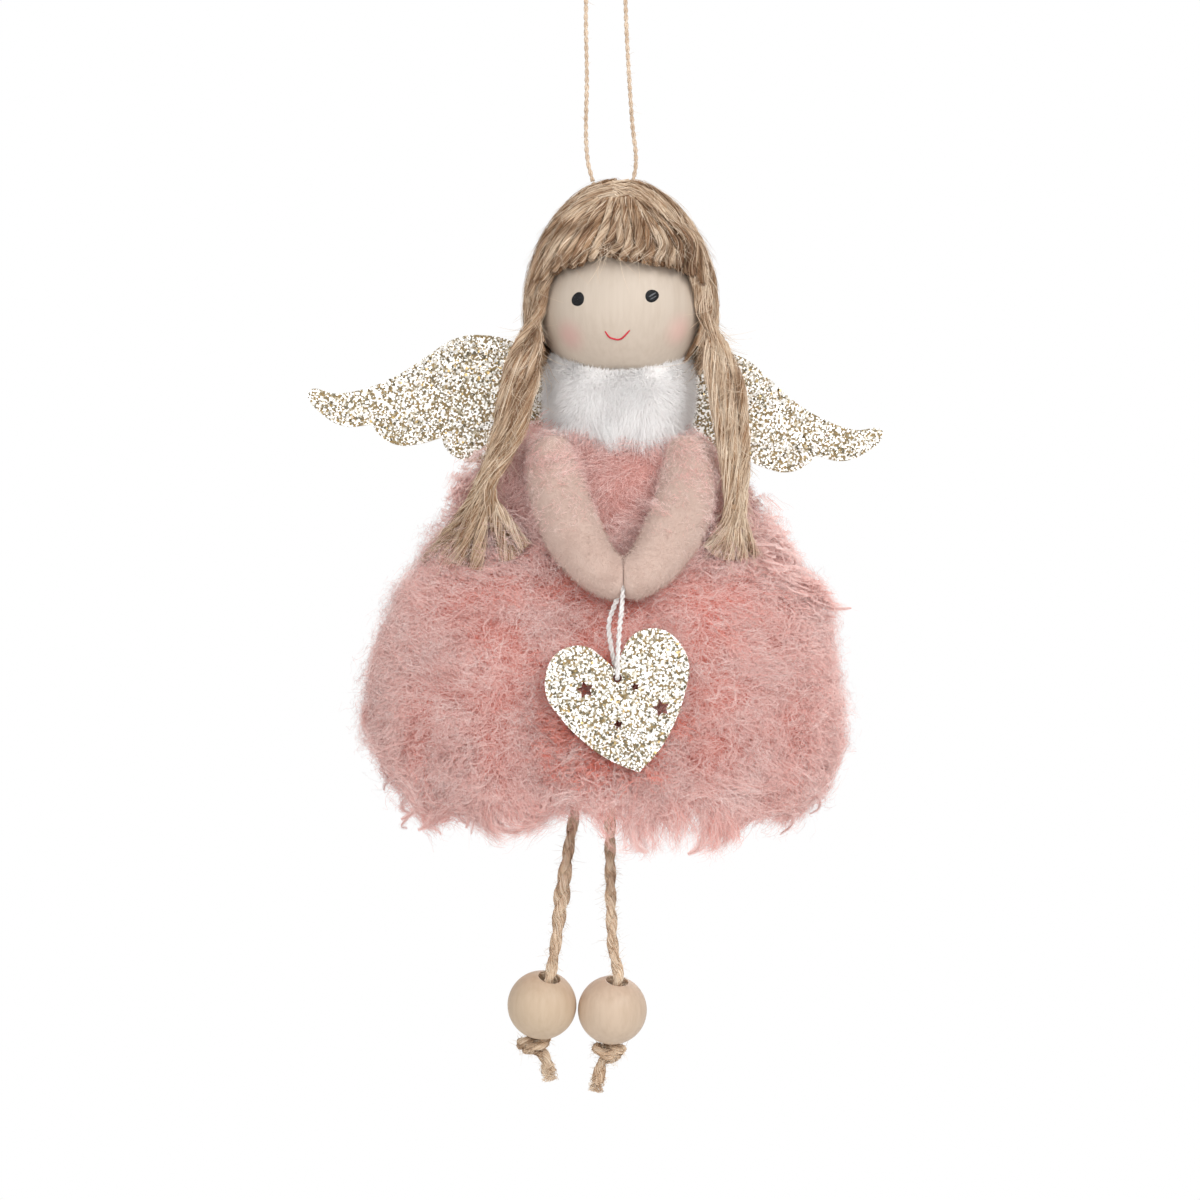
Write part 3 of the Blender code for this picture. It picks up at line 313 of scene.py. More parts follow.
def srgb(red, green, blue):
    """A photographed colour from 0 to 255 as Blender's linear colour."""
    return (*[(c / 255 / 12.92 if c < 10.3 else ((c / 255 + 0.055) / 1.055) ** 2.4)
              for c in (red, green, blue)], 1.0)


def new_material(name, roughness, metallic=0.0, sheen=0.0, specular=0.5):
    """A material, its node tree and its shader."""
    material = bpy.data.materials.new(name)
    material.use_nodes = True
    tree = material.node_tree
    shader = tree.nodes["Principled BSDF"]
    shader.inputs["Roughness"].default_value = roughness
    shader.inputs["Metallic"].default_value = metallic
    shader.inputs["Sheen Weight"].default_value = sheen
    shader.inputs["Specular IOR Level"].default_value = specular
    return material, tree, shader


def link(tree, source, target):
    """Joins two sockets."""
    tree.links.new(source, target)


def add_node(tree, kind, values=(), links=(), **settings):
    """A shader node with its settings, constant inputs and linked inputs."""
    node = tree.nodes.new(f"ShaderNode{kind}")
    for name, value in settings.items():
        setattr(node, name, value)
    for key, value in dict(values).items():
        node.inputs[key].default_value = value
    for key, source in dict(links).items():
        link(tree, source, node.inputs[key])
    return node


def scaled_place(tree, stretch=(1, 1, 1)):
    """Coordinates in the piece's own space, stretched along its axes."""
    place = add_node(tree, "TexCoord").outputs["Object"]
    return add_node(tree, "Mapping", {"Scale": stretch}, {"Vector": place}).outputs["Vector"]


def noise(tree, vector, feature, detail=3.0, roughness=0.5):
    """Noise whose patches are about feature millimetres across."""
    return add_node(tree, "TexNoise", {"Scale": 1000.0 / feature, "Detail": detail, "Roughness": roughness},
                    {"Vector": vector}).outputs["Fac"]


def ramp(tree, factor, *stops):
    """Colour read from stops of place and colour."""
    node = add_node(tree, "ValToRGB", (), {"Fac": factor})
    elements = node.color_ramp.elements
    while len(elements) < len(stops):
        elements.new(0.5)
    for element, (place, colour) in zip(elements, stops):
        element.position = place
        element.color = colour
    return node.outputs["Color"]


def bump(tree, shader, height, depth, strength=1.0):
    """Fine relief of a depth in millimetres."""
    node = add_node(tree, "Bump", {"Strength": strength, "Distance": depth * MM}, {"Height": height})
    link(tree, node.outputs["Normal"], shader.inputs["Normal"])


def mottled(name, dark, light, feature, roughness=0.85, sheen=0.0):
    """Fibre or cloth whose colour drifts between two tones."""
    material, tree, shader = new_material(name, roughness, 0.0, sheen, 0.2)
    colour = ramp(tree, noise(tree, scaled_place(tree), feature), (0.35, srgb(*dark)), (0.65, srgb(*light)))
    link(tree, colour, shader.inputs["Base Color"])
    return material


def woven(name, dark, light, feature, grain, depth):
    """Cloth with a soft colour drift and a fine raised grain."""
    material, tree, shader = new_material(name, 0.9, 0.0, 0.2, 0.2)
    place = scaled_place(tree)
    link(tree, ramp(tree, noise(tree, place, feature), (0.3, srgb(*dark)), (0.7, srgb(*light))),
         shader.inputs["Base Color"])
    bump(tree, shader, noise(tree, place, grain, 2.0, 0.7), depth)
    return material


def mix_colour(tree, factor, first, second):
    """Two colours, each a constant or an output, mixed by a factor."""
    node = add_node(tree, "Mix", (), {0: factor}, data_type="RGBA")
    for value, socket in ((first, node.inputs[6]), (second, node.inputs[7])):
        if isinstance(value, tuple):
            socket.default_value = value
        else:
            link(tree, value, socket)
    return node.outputs[2]


def near(tree, vector, centre, inner, outer, most):
    """Most at a centre, falling to nothing at the outer distance."""
    away = add_node(tree, "VectorMath", {1: [c * MM for c in centre]}, {0: vector}, operation="DISTANCE")
    limits = {"From Min": inner * MM, "From Max": outer * MM, "To Min": most, "To Max": 0.0}
    return add_node(tree, "MapRange", limits, {"Value": away.outputs["Value"]},
                    interpolation_type="SMOOTHSTEP").outputs["Result"]


def wood(name, dark, light, stretch, blushes, relief):
    """Pale sanded wood with fine grain, and blush rubbed on where asked."""
    material, tree, shader = new_material(name, 0.5, 0.0, 0.0, 0.35)
    place = scaled_place(tree)
    grain = noise(tree, scaled_place(tree, stretch), 1.1, 4.0, 0.6)
    drift = noise(tree, place, 14.0, 2.0)
    fine = ramp(tree, grain, (0.3, srgb(*dark)), (0.62, srgb(*light)))
    warm = tuple(0.93 * c for c in srgb(*light)[:3]) + (1.0,)
    colour = mix_colour(tree, ramp(tree, drift, (0.4, (0, 0, 0, 1)), (0.75, (0.5, 0.5, 0.5, 1))), fine, warm)
    for centre, inner, outer, most, tone in blushes:
        colour = mix_colour(tree, near(tree, place, centre, inner, outer, most), colour, srgb(*tone))
    link(tree, colour, shader.inputs["Base Color"])
    bump(tree, shader, grain, relief, 0.5)
    return material


def glitter_ground(name, stops, grain):
    """The glued ground of tiny metallic grains between the large flakes."""
    material, tree, shader = new_material(name, 0.45, 0.55)
    place = scaled_place(tree)
    cells = add_node(tree, "TexVoronoi", {"Scale": 1000.0 / grain}, {"Vector": place}).outputs["Color"]
    link(tree, ramp(tree, cells, *[(p, srgb(*c)) for p, c in stops]), shader.inputs["Base Color"])
    bump(tree, shader, cells, 0.25)
    return material


JUTE_LIGHT = mottled("jute_light", (224, 201, 176), (246, 229, 207), 5)
JUTE_PALE = mottled("jute_pale", (202, 174, 146), (230, 208, 182), 5)
JUTE_MID = mottled("jute_mid", (174, 142, 114), (206, 178, 150), 5)
JUTE_WARM = mottled("jute_warm", (152, 116, 86), (188, 152, 119), 5)
JUTE_DARK = mottled("jute_dark", (118, 88, 66), (156, 122, 95), 5)
JUTE_SHADES = (JUTE_PALE, JUTE_MID, JUTE_WARM, JUTE_MID, JUTE_PALE, JUTE_DARK, JUTE_LIGHT)
LEG_SHADES = (JUTE_PALE, JUTE_LIGHT, JUTE_PALE, JUTE_LIGHT, JUTE_MID)
TWINE_PALE = mottled("twine_pale", (206, 182, 158), (230, 210, 188), 3)
TWINE_FIBRE = mottled("twine_fibre", (216, 194, 170), (240, 222, 202), 3)
FUR_PALE = mottled("fur_pale", (250, 219, 213), (253, 231, 226), 9, 0.8)
FUR_MID = mottled("fur_mid", (243, 193, 185), (247, 206, 199), 9, 0.8)
FUR_WARM = mottled("fur_warm", (238, 176, 167), (243, 191, 183), 9, 0.8)
# The next two deep pinks are painted shade, at the fur's roots and where it lies between other pieces
FUR_DEEP_SHADE = mottled("fur_deep_shade", (236, 160, 149), (243, 176, 166), 9, 0.8)
FUR_PAINTED_SHADE = mottled("fur_painted_shade", (246, 140, 122), (252, 162, 145), 6, 0.8)
FUR_DUSK = mottled("fur_dusk", (222, 178, 171), (232, 194, 188), 9, 0.8)
FUR_SHADES = (FUR_PALE, FUR_MID, FUR_PALE, FUR_MID, FUR_DUSK, FUR_WARM)
CURL_SHADES = (FUR_PALE, FUR_MID, FUR_PALE)
# The backing cloths are the fur's knitted back; their deeper pinks are painted shade in the gaps between tufts
FUR_BACKING = woven("fur_backing", (232, 142, 126), (242, 166, 152), 6, 0.8, 0.4)
DUSK_BACKING = woven("dusk_backing", (204, 148, 139), (216, 164, 155), 6, 0.8, 0.4)
PLUSH_PILE = mottled("plush_pile", (250, 248, 247), (255, 254, 253), 4, 0.8)
PLUSH_SHADE = mottled("plush_shade", (240, 236, 235), (250, 247, 246), 4, 0.8)
FLEECE = woven("peach_fleece", (208, 180, 167), (217, 191, 178), 5, 0.3, 0.3)
FLEECE_FUZZ = mottled("fleece_fuzz", (218, 191, 179), (230, 206, 195), 3, 0.8, 0.3)
FELT = woven("stuffed_felt", (219, 166, 156), (232, 184, 174), 6, 0.5, 0.2)
WHITE_CORD = mottled("white_cord", (232, 228, 226), (246, 243, 241), 2)
WING_BACK = woven("wing_backing", (226, 219, 205), (238, 233, 222), 5, 0.4, 0.1)


# Camera, lights and surroundings


def make_camera():
    """The photograph's camera, level and square to the doll."""
    data = bpy.data.cameras.new("camera")
    data.sensor_width = SENSOR
    data.lens = SENSOR * CAMERA_DISTANCE / FRAME_SIDE
    camera = bpy.data.objects.new("camera", data)
    camera.location = (CAMERA_X * MM, -CAMERA_DISTANCE * MM, CAMERA_Z * MM)
    camera.rotation_euler = (math.radians(90), 0, 0)
    bpy.context.scene.collection.objects.link(camera)
    bpy.context.scene.camera = camera


def area_light(name, place, side, power):
    """A square lamp turned to the doll."""
    data = bpy.data.lights.new(name, "AREA")
    data.size = side * MM
    data.energy = power
    light = bpy.data.objects.new(name, data)
    light.location = [c * MM for c in place]
    aim = bpy.data.objects.new(f"{name}_aim", None)
    aim.location = [c * MM for c in LAMP_TARGET]
    for thing in (light, aim):
        bpy.context.scene.collection.objects.link(thing)
    follow = light.constraints.new("TRACK_TO")
    follow.target = aim
    follow.track_axis = "TRACK_NEGATIVE_Z"
    follow.up_axis = "UP_Y"


def make_world():
    """White behind the object for the camera and in reflections, softer as a light."""
    world = bpy.data.worlds.new("studio")
    bpy.context.scene.world = world
    world.use_nodes = True
    tree = world.node_tree
    seen = tree.nodes["Background"]
    seen.inputs["Color"].default_value = (1, 1, 1, 1)
    seen.inputs["Strength"].default_value = 1.0
    light = add_node(tree, "Background", {"Color": (1.0, 0.985, 0.97, 1), "Strength": WORLD_LIGHT})
    rays = add_node(tree, "LightPath").outputs
    first = add_node(tree, "Math", (), {0: rays["Is Camera Ray"], 1: rays["Is Glossy Ray"]}, operation="MAXIMUM")
    both = add_node(tree, "Math", (), {0: first.outputs[0], 1: rays["Is Transmission Ray"]}, operation="MAXIMUM")
    mix = add_node(tree, "MixShader", (), {"Fac": both.outputs[0], 1: light.outputs[0], 2: seen.outputs[0]})
    link(tree, mix.outputs[0], tree.nodes["World Output"].inputs["Surface"])


def make_floor():
    """A pale round floor under the hanging doll, below the photograph's view."""
    points, faces = turned(((1.0, FLOOR_Z), (FLOOR_RADIUS, FLOOR_Z)), 64)
    material, tree, shader = new_material("floor_pale", 0.9)
    link(tree, ramp(tree, noise(tree, scaled_place(tree), 200.0), (0.3, (0.86, 0.86, 0.86, 1)),
                    (0.7, (0.9, 0.9, 0.9, 1))), shader.inputs["Base Color"])
    mesh = bpy.data.meshes.new("floor")
    mesh.from_pydata((points * MM).tolist(), [], faces.tolist())
    mesh.materials.append(material)
    floor = bpy.data.objects.new("floor", mesh)
    bpy.context.scene.collection.objects.link(floor)


# Twines and yarns


def yarn(rng, path, radius, count, twist, loose=0.3, flat=(1.0, 1.0), outward=None, core=0.0, astray=0.0):
    """Lines of a yarn's fibres round a path. radius may change along it, twist is in turns."""
    steps = len(path)
    along, across, other = frames(path[None])
    along, across, other = along[0], across[0], other[0]
    if outward is not None:
        across = unit(outward - (outward * along).sum(-1, keepdims=True) * along)
        other = np.cross(along, across)
    share = np.sqrt(rng.uniform(core ** 2, 1.0, (count, 1)))
    s = np.linspace(0, 1, steps)[None]
    phase = rng.uniform(0, 2 * np.pi, (count, 1))
    wander = rng.uniform(0, 2 * np.pi, (count, 1))
    waves = rng.uniform(1.0, 3.0, (count, 1))
    turns = twist + rng.normal(0, astray, (count, 1))
    angle = phase + 2 * np.pi * turns * s + loose * np.sin(2 * np.pi * waves * s + wander)
    reach = share * (1 + loose * np.sin(2 * np.pi * waves * s + 2 * wander)) * np.broadcast_to(radius, (steps,))
    return (path[None] + (reach * np.cos(angle) * flat[0])[..., None] * across[None]
            + (reach * np.sin(angle) * flat[1])[..., None] * other[None])


def away_from(lines, paths, count):
    """The direction from each yarn's own path to each of its fibres, for count fibres a yarn."""
    paths = np.repeat(np.asarray(paths), count, axis=0)
    middle = lines.shape[1] // 2
    return unit(lines[:, middle] - paths[:, middle] + 1e-4)


def strays(rng, places, outward, along, length):
    """Short loose fibres that leave a surface slantwise and bend."""
    count = len(places)
    s = np.linspace(0, 1, FUZZ_STEPS)[None, :, None]
    side = unit(np.cross(outward, along))
    lean = rng.normal(0, 0.7, (count, 1, 1))
    forward = rng.uniform(-1.0, 1.0, (count, 1, 1))
    size = rng.uniform(0.35, 1.0, (count, 1, 1)) * length
    bend = rng.normal(0, 0.4, (count, 1, 1))
    return places[:, None] + size * (
        outward[:, None] * 0.8 * s + along[:, None] * forward * s
        + side[:, None] * (lean * s + bend * s ** 2) + outward[:, None] * bend * 0.6 * s ** 2)


def arches(rng, places, outward, along, length, rise):
    """Loose fibres that leave a surface, wander beside it and come back to it."""
    count = len(places)
    s = np.linspace(0, 1, STRAY_STEPS)[None, :, None]
    side = unit(np.cross(outward, along))
    size = rng.uniform(0.4, 1.0, (count, 1, 1)) * length
    lean, bend = rng.normal(0, 0.45, (count, 1, 1)), rng.normal(0, 0.55, (count, 1, 1))
    height = np.abs(rng.normal(0, rise, (count, 1, 1)))
    return (places[:, None] + size * (along[:, None] * s + side[:, None] * (lean * s + bend * s * s))
            + outward[:, None] * (height * np.sin(np.pi * s * 0.85) - 0.04 * size * s * s))


def over_dome(rng, out, reach, length, rise):
    """Loose fibres that follow the head's round, some crossing the rest.

    They lie at a distance reach from the head's middle, or on the cap where reach is None.
    """
    count = len(out)
    s = np.linspace(0, 1, STRAY_STEPS)[None, :, None]
    down = unit(np.cross(np.cross(out, (0, 0, -1.0)), out))
    side = np.cross(out, down)
    turn = rng.normal(0, 0.7, (count, 1, 1))
    heading = np.cos(turn) * down[:, None] + np.sin(turn) * side[:, None]
    size = rng.uniform(0.3, 1.0, (count, 1, 1)) * length / FRINGE_STRAY_REACH
    bend = rng.normal(0, 0.12, (count, 1, 1))
    way = unit(out[:, None] + np.tan(size * s) * heading + bend * s * s * side[:, None])
    height = np.abs(rng.normal(0, rise, (count, 1, 1)))
    lift = (height * np.sin(np.pi * s * rng.uniform(0.6, 1.0, (count, 1, 1))))[..., 0]
    return cap_place(way, lift - 0.1) if reach is None else HEAD + way * (reach + lift)[..., None]


def thin_ends(steps, tip=0.3):
    """Share of a fibre's width along it, thinner at its tip."""
    return 1 - (1 - tip) * np.linspace(0, 1, steps) ** 2


def ply_lines(path, reach, pitch):
    """Middle lines of a twine's two twisted plies, at a distance reach from its own."""
    _, across, other = frames(path[None])
    reach = np.broadcast_to(reach, (len(path),))
    lines = []
    for k in range(2):
        angle = 2 * np.pi * (run_length(path) / pitch + k / 2)
        lines.append(path + (reach * np.cos(angle))[:, None] * across[0]
                     + (reach * np.sin(angle))[:, None] * other[0])
    return np.array(lines)


def make_twine(name, path, diameter, pitch, body, core, shades, rng, fibres, fuzz, fuzz_length=1.8,
               ply_share=0.28, swell=1.0, fibre_width=0.11, apart=0.25):
    """A two-ply twine: smooth plies, fibres wound on them and loose hairs. Returns the plies and the rest.

    ply_share and apart are shares of the diameter: a ply's radius, and its distance from the middle.
    """
    lines = ply_lines(path, apart * diameter * swell, pitch)
    ply = ply_share * diameter * swell
    points, faces = tubes(lines, np.broadcast_to(ply, lines.shape[:2]), 8)
    plies = add_piece(name, points, faces, core, body)
    turns = -run_length(path)[-1] / (0.8 * pitch)
    wound = np.vstack([yarn(rng, line, 1.06 * ply, fibres, turns, 0.12, core=0.86, astray=0.08 * abs(turns))
                       for line in lines])
    made = add_fibres(f"{name}_fibre", wound, fibre_width, shades, body, rng,
                      facing=away_from(wound, lines, fibres), scatter=0.5)
    if fuzz:
        pick = rng.integers(0, len(path) - 1, fuzz)
        along, out = out_of(path, pick, rng.uniform(0, 2 * np.pi, (fuzz, 1)))
        hairs = strays(rng, path[pick] + out * diameter * 0.42, out, along, fuzz_length)
        made += add_fibres(f"{name}_fuzz", hairs, 0.07 * thin_ends(FUZZ_STEPS), shades[:2], body, rng)
    return plies, made


def make_hanging_loop(rng):
    """The loop from its left exit at the crown, over the hook and down to its right exit."""
    route = ((CROWN_EXIT_LEFT, 0, CROWN_EXIT_Z), (-4.4, 0, -48.0), (-4.8, 0, -41.5), (-4.6, 0, -30.0),
             (-4.8, 0, -17.5), (-4.5, 0, -9.0), (-2.9, 0, -2.3), (0.0, 0, LOOP_TWINE / 2), (2.6, 0, -2.3),
             (3.6, 0, -9.0), (4.0, 0, -19.0), (4.6, 0, -30.0), (5.3, 0, -40.0), (6.0, 0, -46.0),
             (6.0, 0, -49.4), (CROWN_EXIT_RIGHT, 0, CROWN_EXIT_Z))
    path = smooth_route(route, 0.35)
    plies, _ = make_twine("loop_twine", path, LOOP_TWINE, LOOP_PITCH, "loop", TWINE_PALE,
                          (TWINE_FIBRE, TWINE_PALE, JUTE_PALE), rng, fibres=12, fuzz=150,
                          fuzz_length=1.0, fibre_width=0.07)
    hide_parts("hanging_loop")


def make_loop_anchor(rng):
    """The ends of the loop inside the head, from the crown to their knot."""
    shades = (TWINE_FIBRE, TWINE_PALE)
    for side, exit_x, label in ((-1, CROWN_EXIT_LEFT, "left"), (1, CROWN_EXIT_RIGHT, "right")):
        inner = HEAD[0] + side * STRAND_OFFSET
        route = ((exit_x, 0, CROWN_EXIT_Z - JOINT_GAP), ((2 * exit_x + inner) / 3, 0, -56.2),
                 (inner + side * 0.4, 0, -61.0), (inner, 0, -71.6), (inner, 0, -87.6), (inner, 0, ANCHOR_KNOT_Z))
        make_twine(f"anchor_strand_{label}", smooth_route(route, 0.5), LOOP_TWINE, LOOP_PITCH, "doll",
                   TWINE_PALE, shades, rng, fibres=6, fuzz=0)
    knot = overhand_knot(1.15, 1.0)[:, (0, 2, 1)] * (1, 1, 0.8) + (HEAD[0], 0, ANCHOR_KNOT_Z - 0.5)
    tied, _ = make_twine("anchor_knot", smooth_route(knot, 0.3), 1.5, 4.0, "doll", TWINE_PALE,
                         shades, rng, fibres=8, fuzz=20)
    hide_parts("loop_anchor")


def overhand_knot(size, rise):
    """Points of an overhand knot, open at its ends, about its middle."""
    turn = np.linspace(0.18, 2 * np.pi - 0.18, 25)
    return np.column_stack([size * (np.sin(turn) + 2 * np.sin(2 * turn)) * 0.8,
                            size * (np.cos(turn) - 2 * np.cos(2 * turn)) * 0.8,
                            -rise * np.sin(3 * turn)])


# Legs and feet

BEADS = {
    "left": dict(pivot=(-4.4, 0.0, -158.4), bead=(-14.35, 0.0, -231.5), axis=(0.232, -0.417, 0.879),
                 waypoints=((-5.0, 0.0, -170.0), (-6.9, -0.3, -187.0), (-9.4, -0.8, -203.0),
                            (-11.2, -2.4, -217.0))),
    "right": dict(pivot=(2.2, 0.0, -158.4), bead=(0.95, 0.0, -232.6), axis=(0.145, -0.355, 0.924),
                  waypoints=((1.6, 0.0, -170.0), (0.6, -0.2, -187.0), (0.5, -0.6, -203.0),
                             (1.0, -2.0, -218.0))),
}
BEAD_RADIUS = 7.5
BORE_RADIUS = 2.4
LEG_KNOT_RADIUS = 2.6
FOOT_KNOT_RADIUS = 2.3
FOOT_KNOT_DROP = 2.25  # of its middle below the bead
# The left leg's plies swell at this height, by this share and over this reach
SWELL_Z = -207.5
SWELL_SHARE = 0.42
SWELL_REACH = 5.5
# Middle lines of the tied ends under the beads, from the bore's lower mouth
FOOT_KNOTS = {
    "left": ((0.2, 0.2, -1.2), (-2.3, -1.6, -2.0), (-2.9, 0.9, -2.7), (-0.4, 2.1, -2.6), (2.1, 1.2, -1.8),
             (2.3, -0.9, -1.9), (0.2, -1.9, -2.9), (-1.9, -0.6, -3.4), (-0.5, 0.9, -4.0), (1.4, 0.4, -4.4),
             (2.6, 0.3, -6.4), (3.1, 0.6, -8.9)),
    "right": ((0.1, 0.1, -1.2), (2.2, -1.5, -2.0), (3.0, 0.8, -2.5), (0.6, 2.0, -2.6), (-2.0, 1.1, -1.9),
              (-2.4, -1.0, -2.1), (-0.4, -1.9, -3.1), (1.8, -0.8, -3.5), (0.6, 0.8, -4.2), (-1.1, 0.5, -4.8),
              (-1.7, 0.3, -7.0), (-2.3, 0.4, -9.8)),
}


def make_leg(side, rng):
    """A jute leg from its knot under the body down through its bead, and its tied end."""
    facts = BEADS[side]
    pivot, bead = np.array(facts["pivot"]), np.array(facts["bead"])
    axis = unit(np.array(facts["axis"]))
    half = math.sqrt(BEAD_RADIUS ** 2 - BORE_RADIUS ** 2)
    top, low = bead + axis * half, bead - axis * half
    ways = [np.array(w) for w in facts["waypoints"]]
    start = pivot + unit(ways[0] - pivot) * (LEG_KNOT_RADIUS + JOINT_GAP)
    knot_middle = low - axis * FOOT_KNOT_DROP
    end = knot_middle + axis * (FOOT_KNOT_RADIUS + GAP)
    route = [start, *ways, top + axis * 1.5, bead + axis * 2.0, bead - axis * 3.0, end]
    path = smooth_route(route, 0.5)
    swell = 1.0
    if side == "left":
        swell = 1 + SWELL_SHARE * np.exp(-((path[:, 2] - SWELL_Z) / SWELL_REACH) ** 2)
    plies, made = make_twine(f"leg_twine_{side}", path, LEG_TWINE, 10.5, f"leg_{side}", JUTE_PALE, LEG_SHADES,
                             rng, fibres=80, fuzz=700, fuzz_length=2.2, ply_share=0.34, swell=swell,
                             fibre_width=JUTE_FIBRE, apart=0.17)
    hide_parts(f"leg_cord_{side}")
    ring = overhand_knot(0.95, 0.9) + pivot + (0, 0, 0.2)
    knot, _ = make_twine(f"leg_top_{side}", smooth_route(ring, 0.4), 1.9, 6.0, f"leg_top_{side}", JUTE_MID,
                         JUTE_SHADES[:4], rng, fibres=20, fuzz=40, fuzz_length=1.4)
    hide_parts(f"leg_knot_{side}")
    tied = smooth_route(np.array(FOOT_KNOTS[side]) + low, 0.35)
    flare = 1 + 0.35 * np.clip((np.arange(len(tied)) / len(tied) - 0.82) / 0.18, 0, 1)
    foot, _ = make_twine(f"foot_twine_{side}", tied, 2.25, 9.0, f"leg_{side}", JUTE_PALE, LEG_SHADES,
                         rng, fibres=70, fuzz=320, fuzz_length=1.8, ply_share=0.33, swell=flare,
                         fibre_width=JUTE_FIBRE, apart=0.18)
    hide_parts(f"foot_knot_{side}")
    brush = smooth_route((tied[-6], tied[-1], 2 * tied[-1] - tied[-6]), 0.4)
    add_fibres(f"foot_brush_{side}", yarn(rng, brush, 1.35, 90, 0.15, 0.5), 0.12, LEG_SHADES[:3],
               f"leg_{side}", rng)


# Heart on its cord


def make_heart_cord(rng):
    """The cord in one ring, over the joined hands and through the heart's hole, with its knot."""
    tilt = math.radians(HEART_TILT_DEG)
    hole_x = HEART_NOTCH_X + HEART_HOLE_DROP * math.sin(tilt)
    hole_z = HEART_NOTCH_Z - HEART_HOLE_DROP * math.cos(tilt)
    back = HEART_Y + HEART_THICKNESS / 2 + GAP + HEART_CORD / 2
    front = HEART_Y - HEART_THICKNESS / 2 - GAP - HEART_CORD / 2
    over = [(HANDS[0], HANDS[1] + CORD_RING * math.cos(turn), HANDS[2] + CORD_RING * math.sin(turn))
            for turn in (math.radians(-30 + 35 * k) for k in range(7))]
    route = (*over, (3.0, -34.6, -142.2), (2.8, -36.6, -145.4), (2.3, front, -150.0),
             (hole_x + 0.1, front, -155.5), (hole_x, front + 0.1, hole_z + 0.6), (hole_x, HEART_Y, hole_z),
             (hole_x, back, hole_z + 0.6), (0.9, back + 0.2, -155.0), (0.1, back - 0.3, -149.5),
             (0.7, -33.6, -146.2), (HANDS[0] - 0.2, HANDS[1] + 0.45 * CORD_RING, HANDS[2] - 0.94 * CORD_RING))
    path = smooth_route(route, 0.3)
    plies, made = make_twine("heart_twine", path, HEART_CORD, 3.0, "heart_string", WHITE_CORD,
                             (WHITE_CORD,), rng, fibres=14, fuzz=60, fuzz_length=0.8,
                             fibre_width=0.08)
    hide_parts("heart_cord")
    middle = (path[0] + path[-1]) / 2 + unit(np.array((0.0, 0.78, -0.62))) * 1.5
    knot, _ = make_twine("heart_twine_knot", smooth_route(overhand_knot(0.4, 0.4) + middle, 0.2), 0.7,
                         2.5, "heart_string", WHITE_CORD, (WHITE_CORD,), rng, fibres=6, fuzz=0)
    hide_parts("heart_cord_knot")


FRONT = -0.9  # faces of a plate whose normal has a lower y are its front
FLAKE_DENSITY = 5.5  # flakes on a square millimetre
FLAKE_SIZE = (0.32, 0.72)
FLAKE_LIFT = (0.03, 0.14)
FLAKE_TILT = 0.2
RIM_MARGIN = 0.16  # kept free of flakes along the plate's outline


def front_points(node, rng):
    """Random places on the front of a CAD plate, with their normals."""
    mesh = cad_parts[node].data
    mesh.calc_loop_triangles()
    count = len(mesh.loop_triangles)
    corners = np.zeros(count * 3, np.int32)
    mesh.loop_triangles.foreach_get("vertices", corners)
    places = np.zeros(len(mesh.vertices) * 3)
    mesh.vertices.foreach_get("co", places)
    a, b, c = (places.reshape(-1, 3)[corners.reshape(-1, 3)[:, k]] / MM for k in range(3))
    normal = np.cross(b - a, c - a)
    area = np.linalg.norm(normal, axis=1) / 2
    normal = unit(normal)
    area = np.where(normal[:, 1] < FRONT, area, 0.0)
    total = int(area.sum() * FLAKE_DENSITY)
    pick = rng.choice(count, total, p=area / area.sum())
    u, v = rng.random((2, total, 1))
    u, v = np.where(u + v > 1, 1 - u, u), np.where(u + v > 1, 1 - v, v)
    return a[pick] + u * (b - a)[pick] + v * (c - a)[pick], normal[pick]


def add_flakes(name, places, normals, shades, share, body, rng):
    """Six-sided glitter flakes lying a little askew on a face; share gives each one's shade."""
    count = len(places)
    facing = unit(normals + rng.normal(0, FLAKE_TILT, (count, 3)))
    across = unit(np.cross(facing, rng.normal(0, 1, (count, 3))))
    other = np.cross(facing, across)
    turn = np.pi / 3 * np.arange(6)
    radius = rng.uniform(*FLAKE_SIZE, (count, 1, 1)) / 2
    lift = rng.uniform(*FLAKE_LIFT, (count, 1))
    corners = (places + normals * lift)[:, None] + radius * (
        np.cos(turn)[None, :, None] * across[:, None] + np.sin(turn)[None, :, None] * other[:, None])
    for k, material in enumerate(shades):
        part = corners[share == k]
        faces = np.arange(part.shape[0] * 6).reshape(-1, 6)
        add_piece(f"{name}_{k}", part.reshape(-1, 3), faces, material, body, False)


def flake_material(name, colour, roughness, metallic):
    """Glitter of one colour, with slightly deeper flakes among it."""
    material, tree, shader = new_material(name, roughness, metallic)
    tone = srgb(*colour)
    deep = tuple(0.86 * c for c in tone[:3]) + (1.0,)
    link(tree, ramp(tree, noise(tree, scaled_place(tree), 1.5), (0.4, deep), (0.6, tone)),
         shader.inputs["Base Color"])
    return material


FLAKE_WHITE = flake_material("flake_white", (252, 250, 244), 0.3, 0.0)
FLAKE_SILVER = flake_material("flake_silver", (244, 238, 224), 0.25, 0.9)
FLAKE_GOLD = flake_material("flake_gold", (190, 164, 112), 0.3, 0.8)
FLAKE_OLIVE = flake_material("flake_olive", (98, 89, 68), 0.4, 0.3)


def clear_of_rims(node, places):
    """Which places keep their margin to the outline of the plate's front."""
    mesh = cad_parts[node].data
    front = {}
    for face in mesh.polygons:
        if face.normal.y < FRONT:
            for key in face.edge_keys:
                front[key] = front.get(key, 0) + 1
    rims = []
    for (a, b), uses in front.items():
        if uses == 1:
            first, last = (np.array(mesh.vertices[k].co) / MM for k in (a, b))
            steps = max(2, int(np.linalg.norm(last - first) / 0.15))
            rims.append(first + np.linspace(0, 1, steps)[:, None] * (last - first))
    rims = np.vstack(rims)
    tree = KDTree(len(rims))
    for k, place in enumerate(rims):
        tree.insert(place, k)
    tree.balance()
    return np.array([tree.find(place)[2] > RIM_MARGIN for place in places])


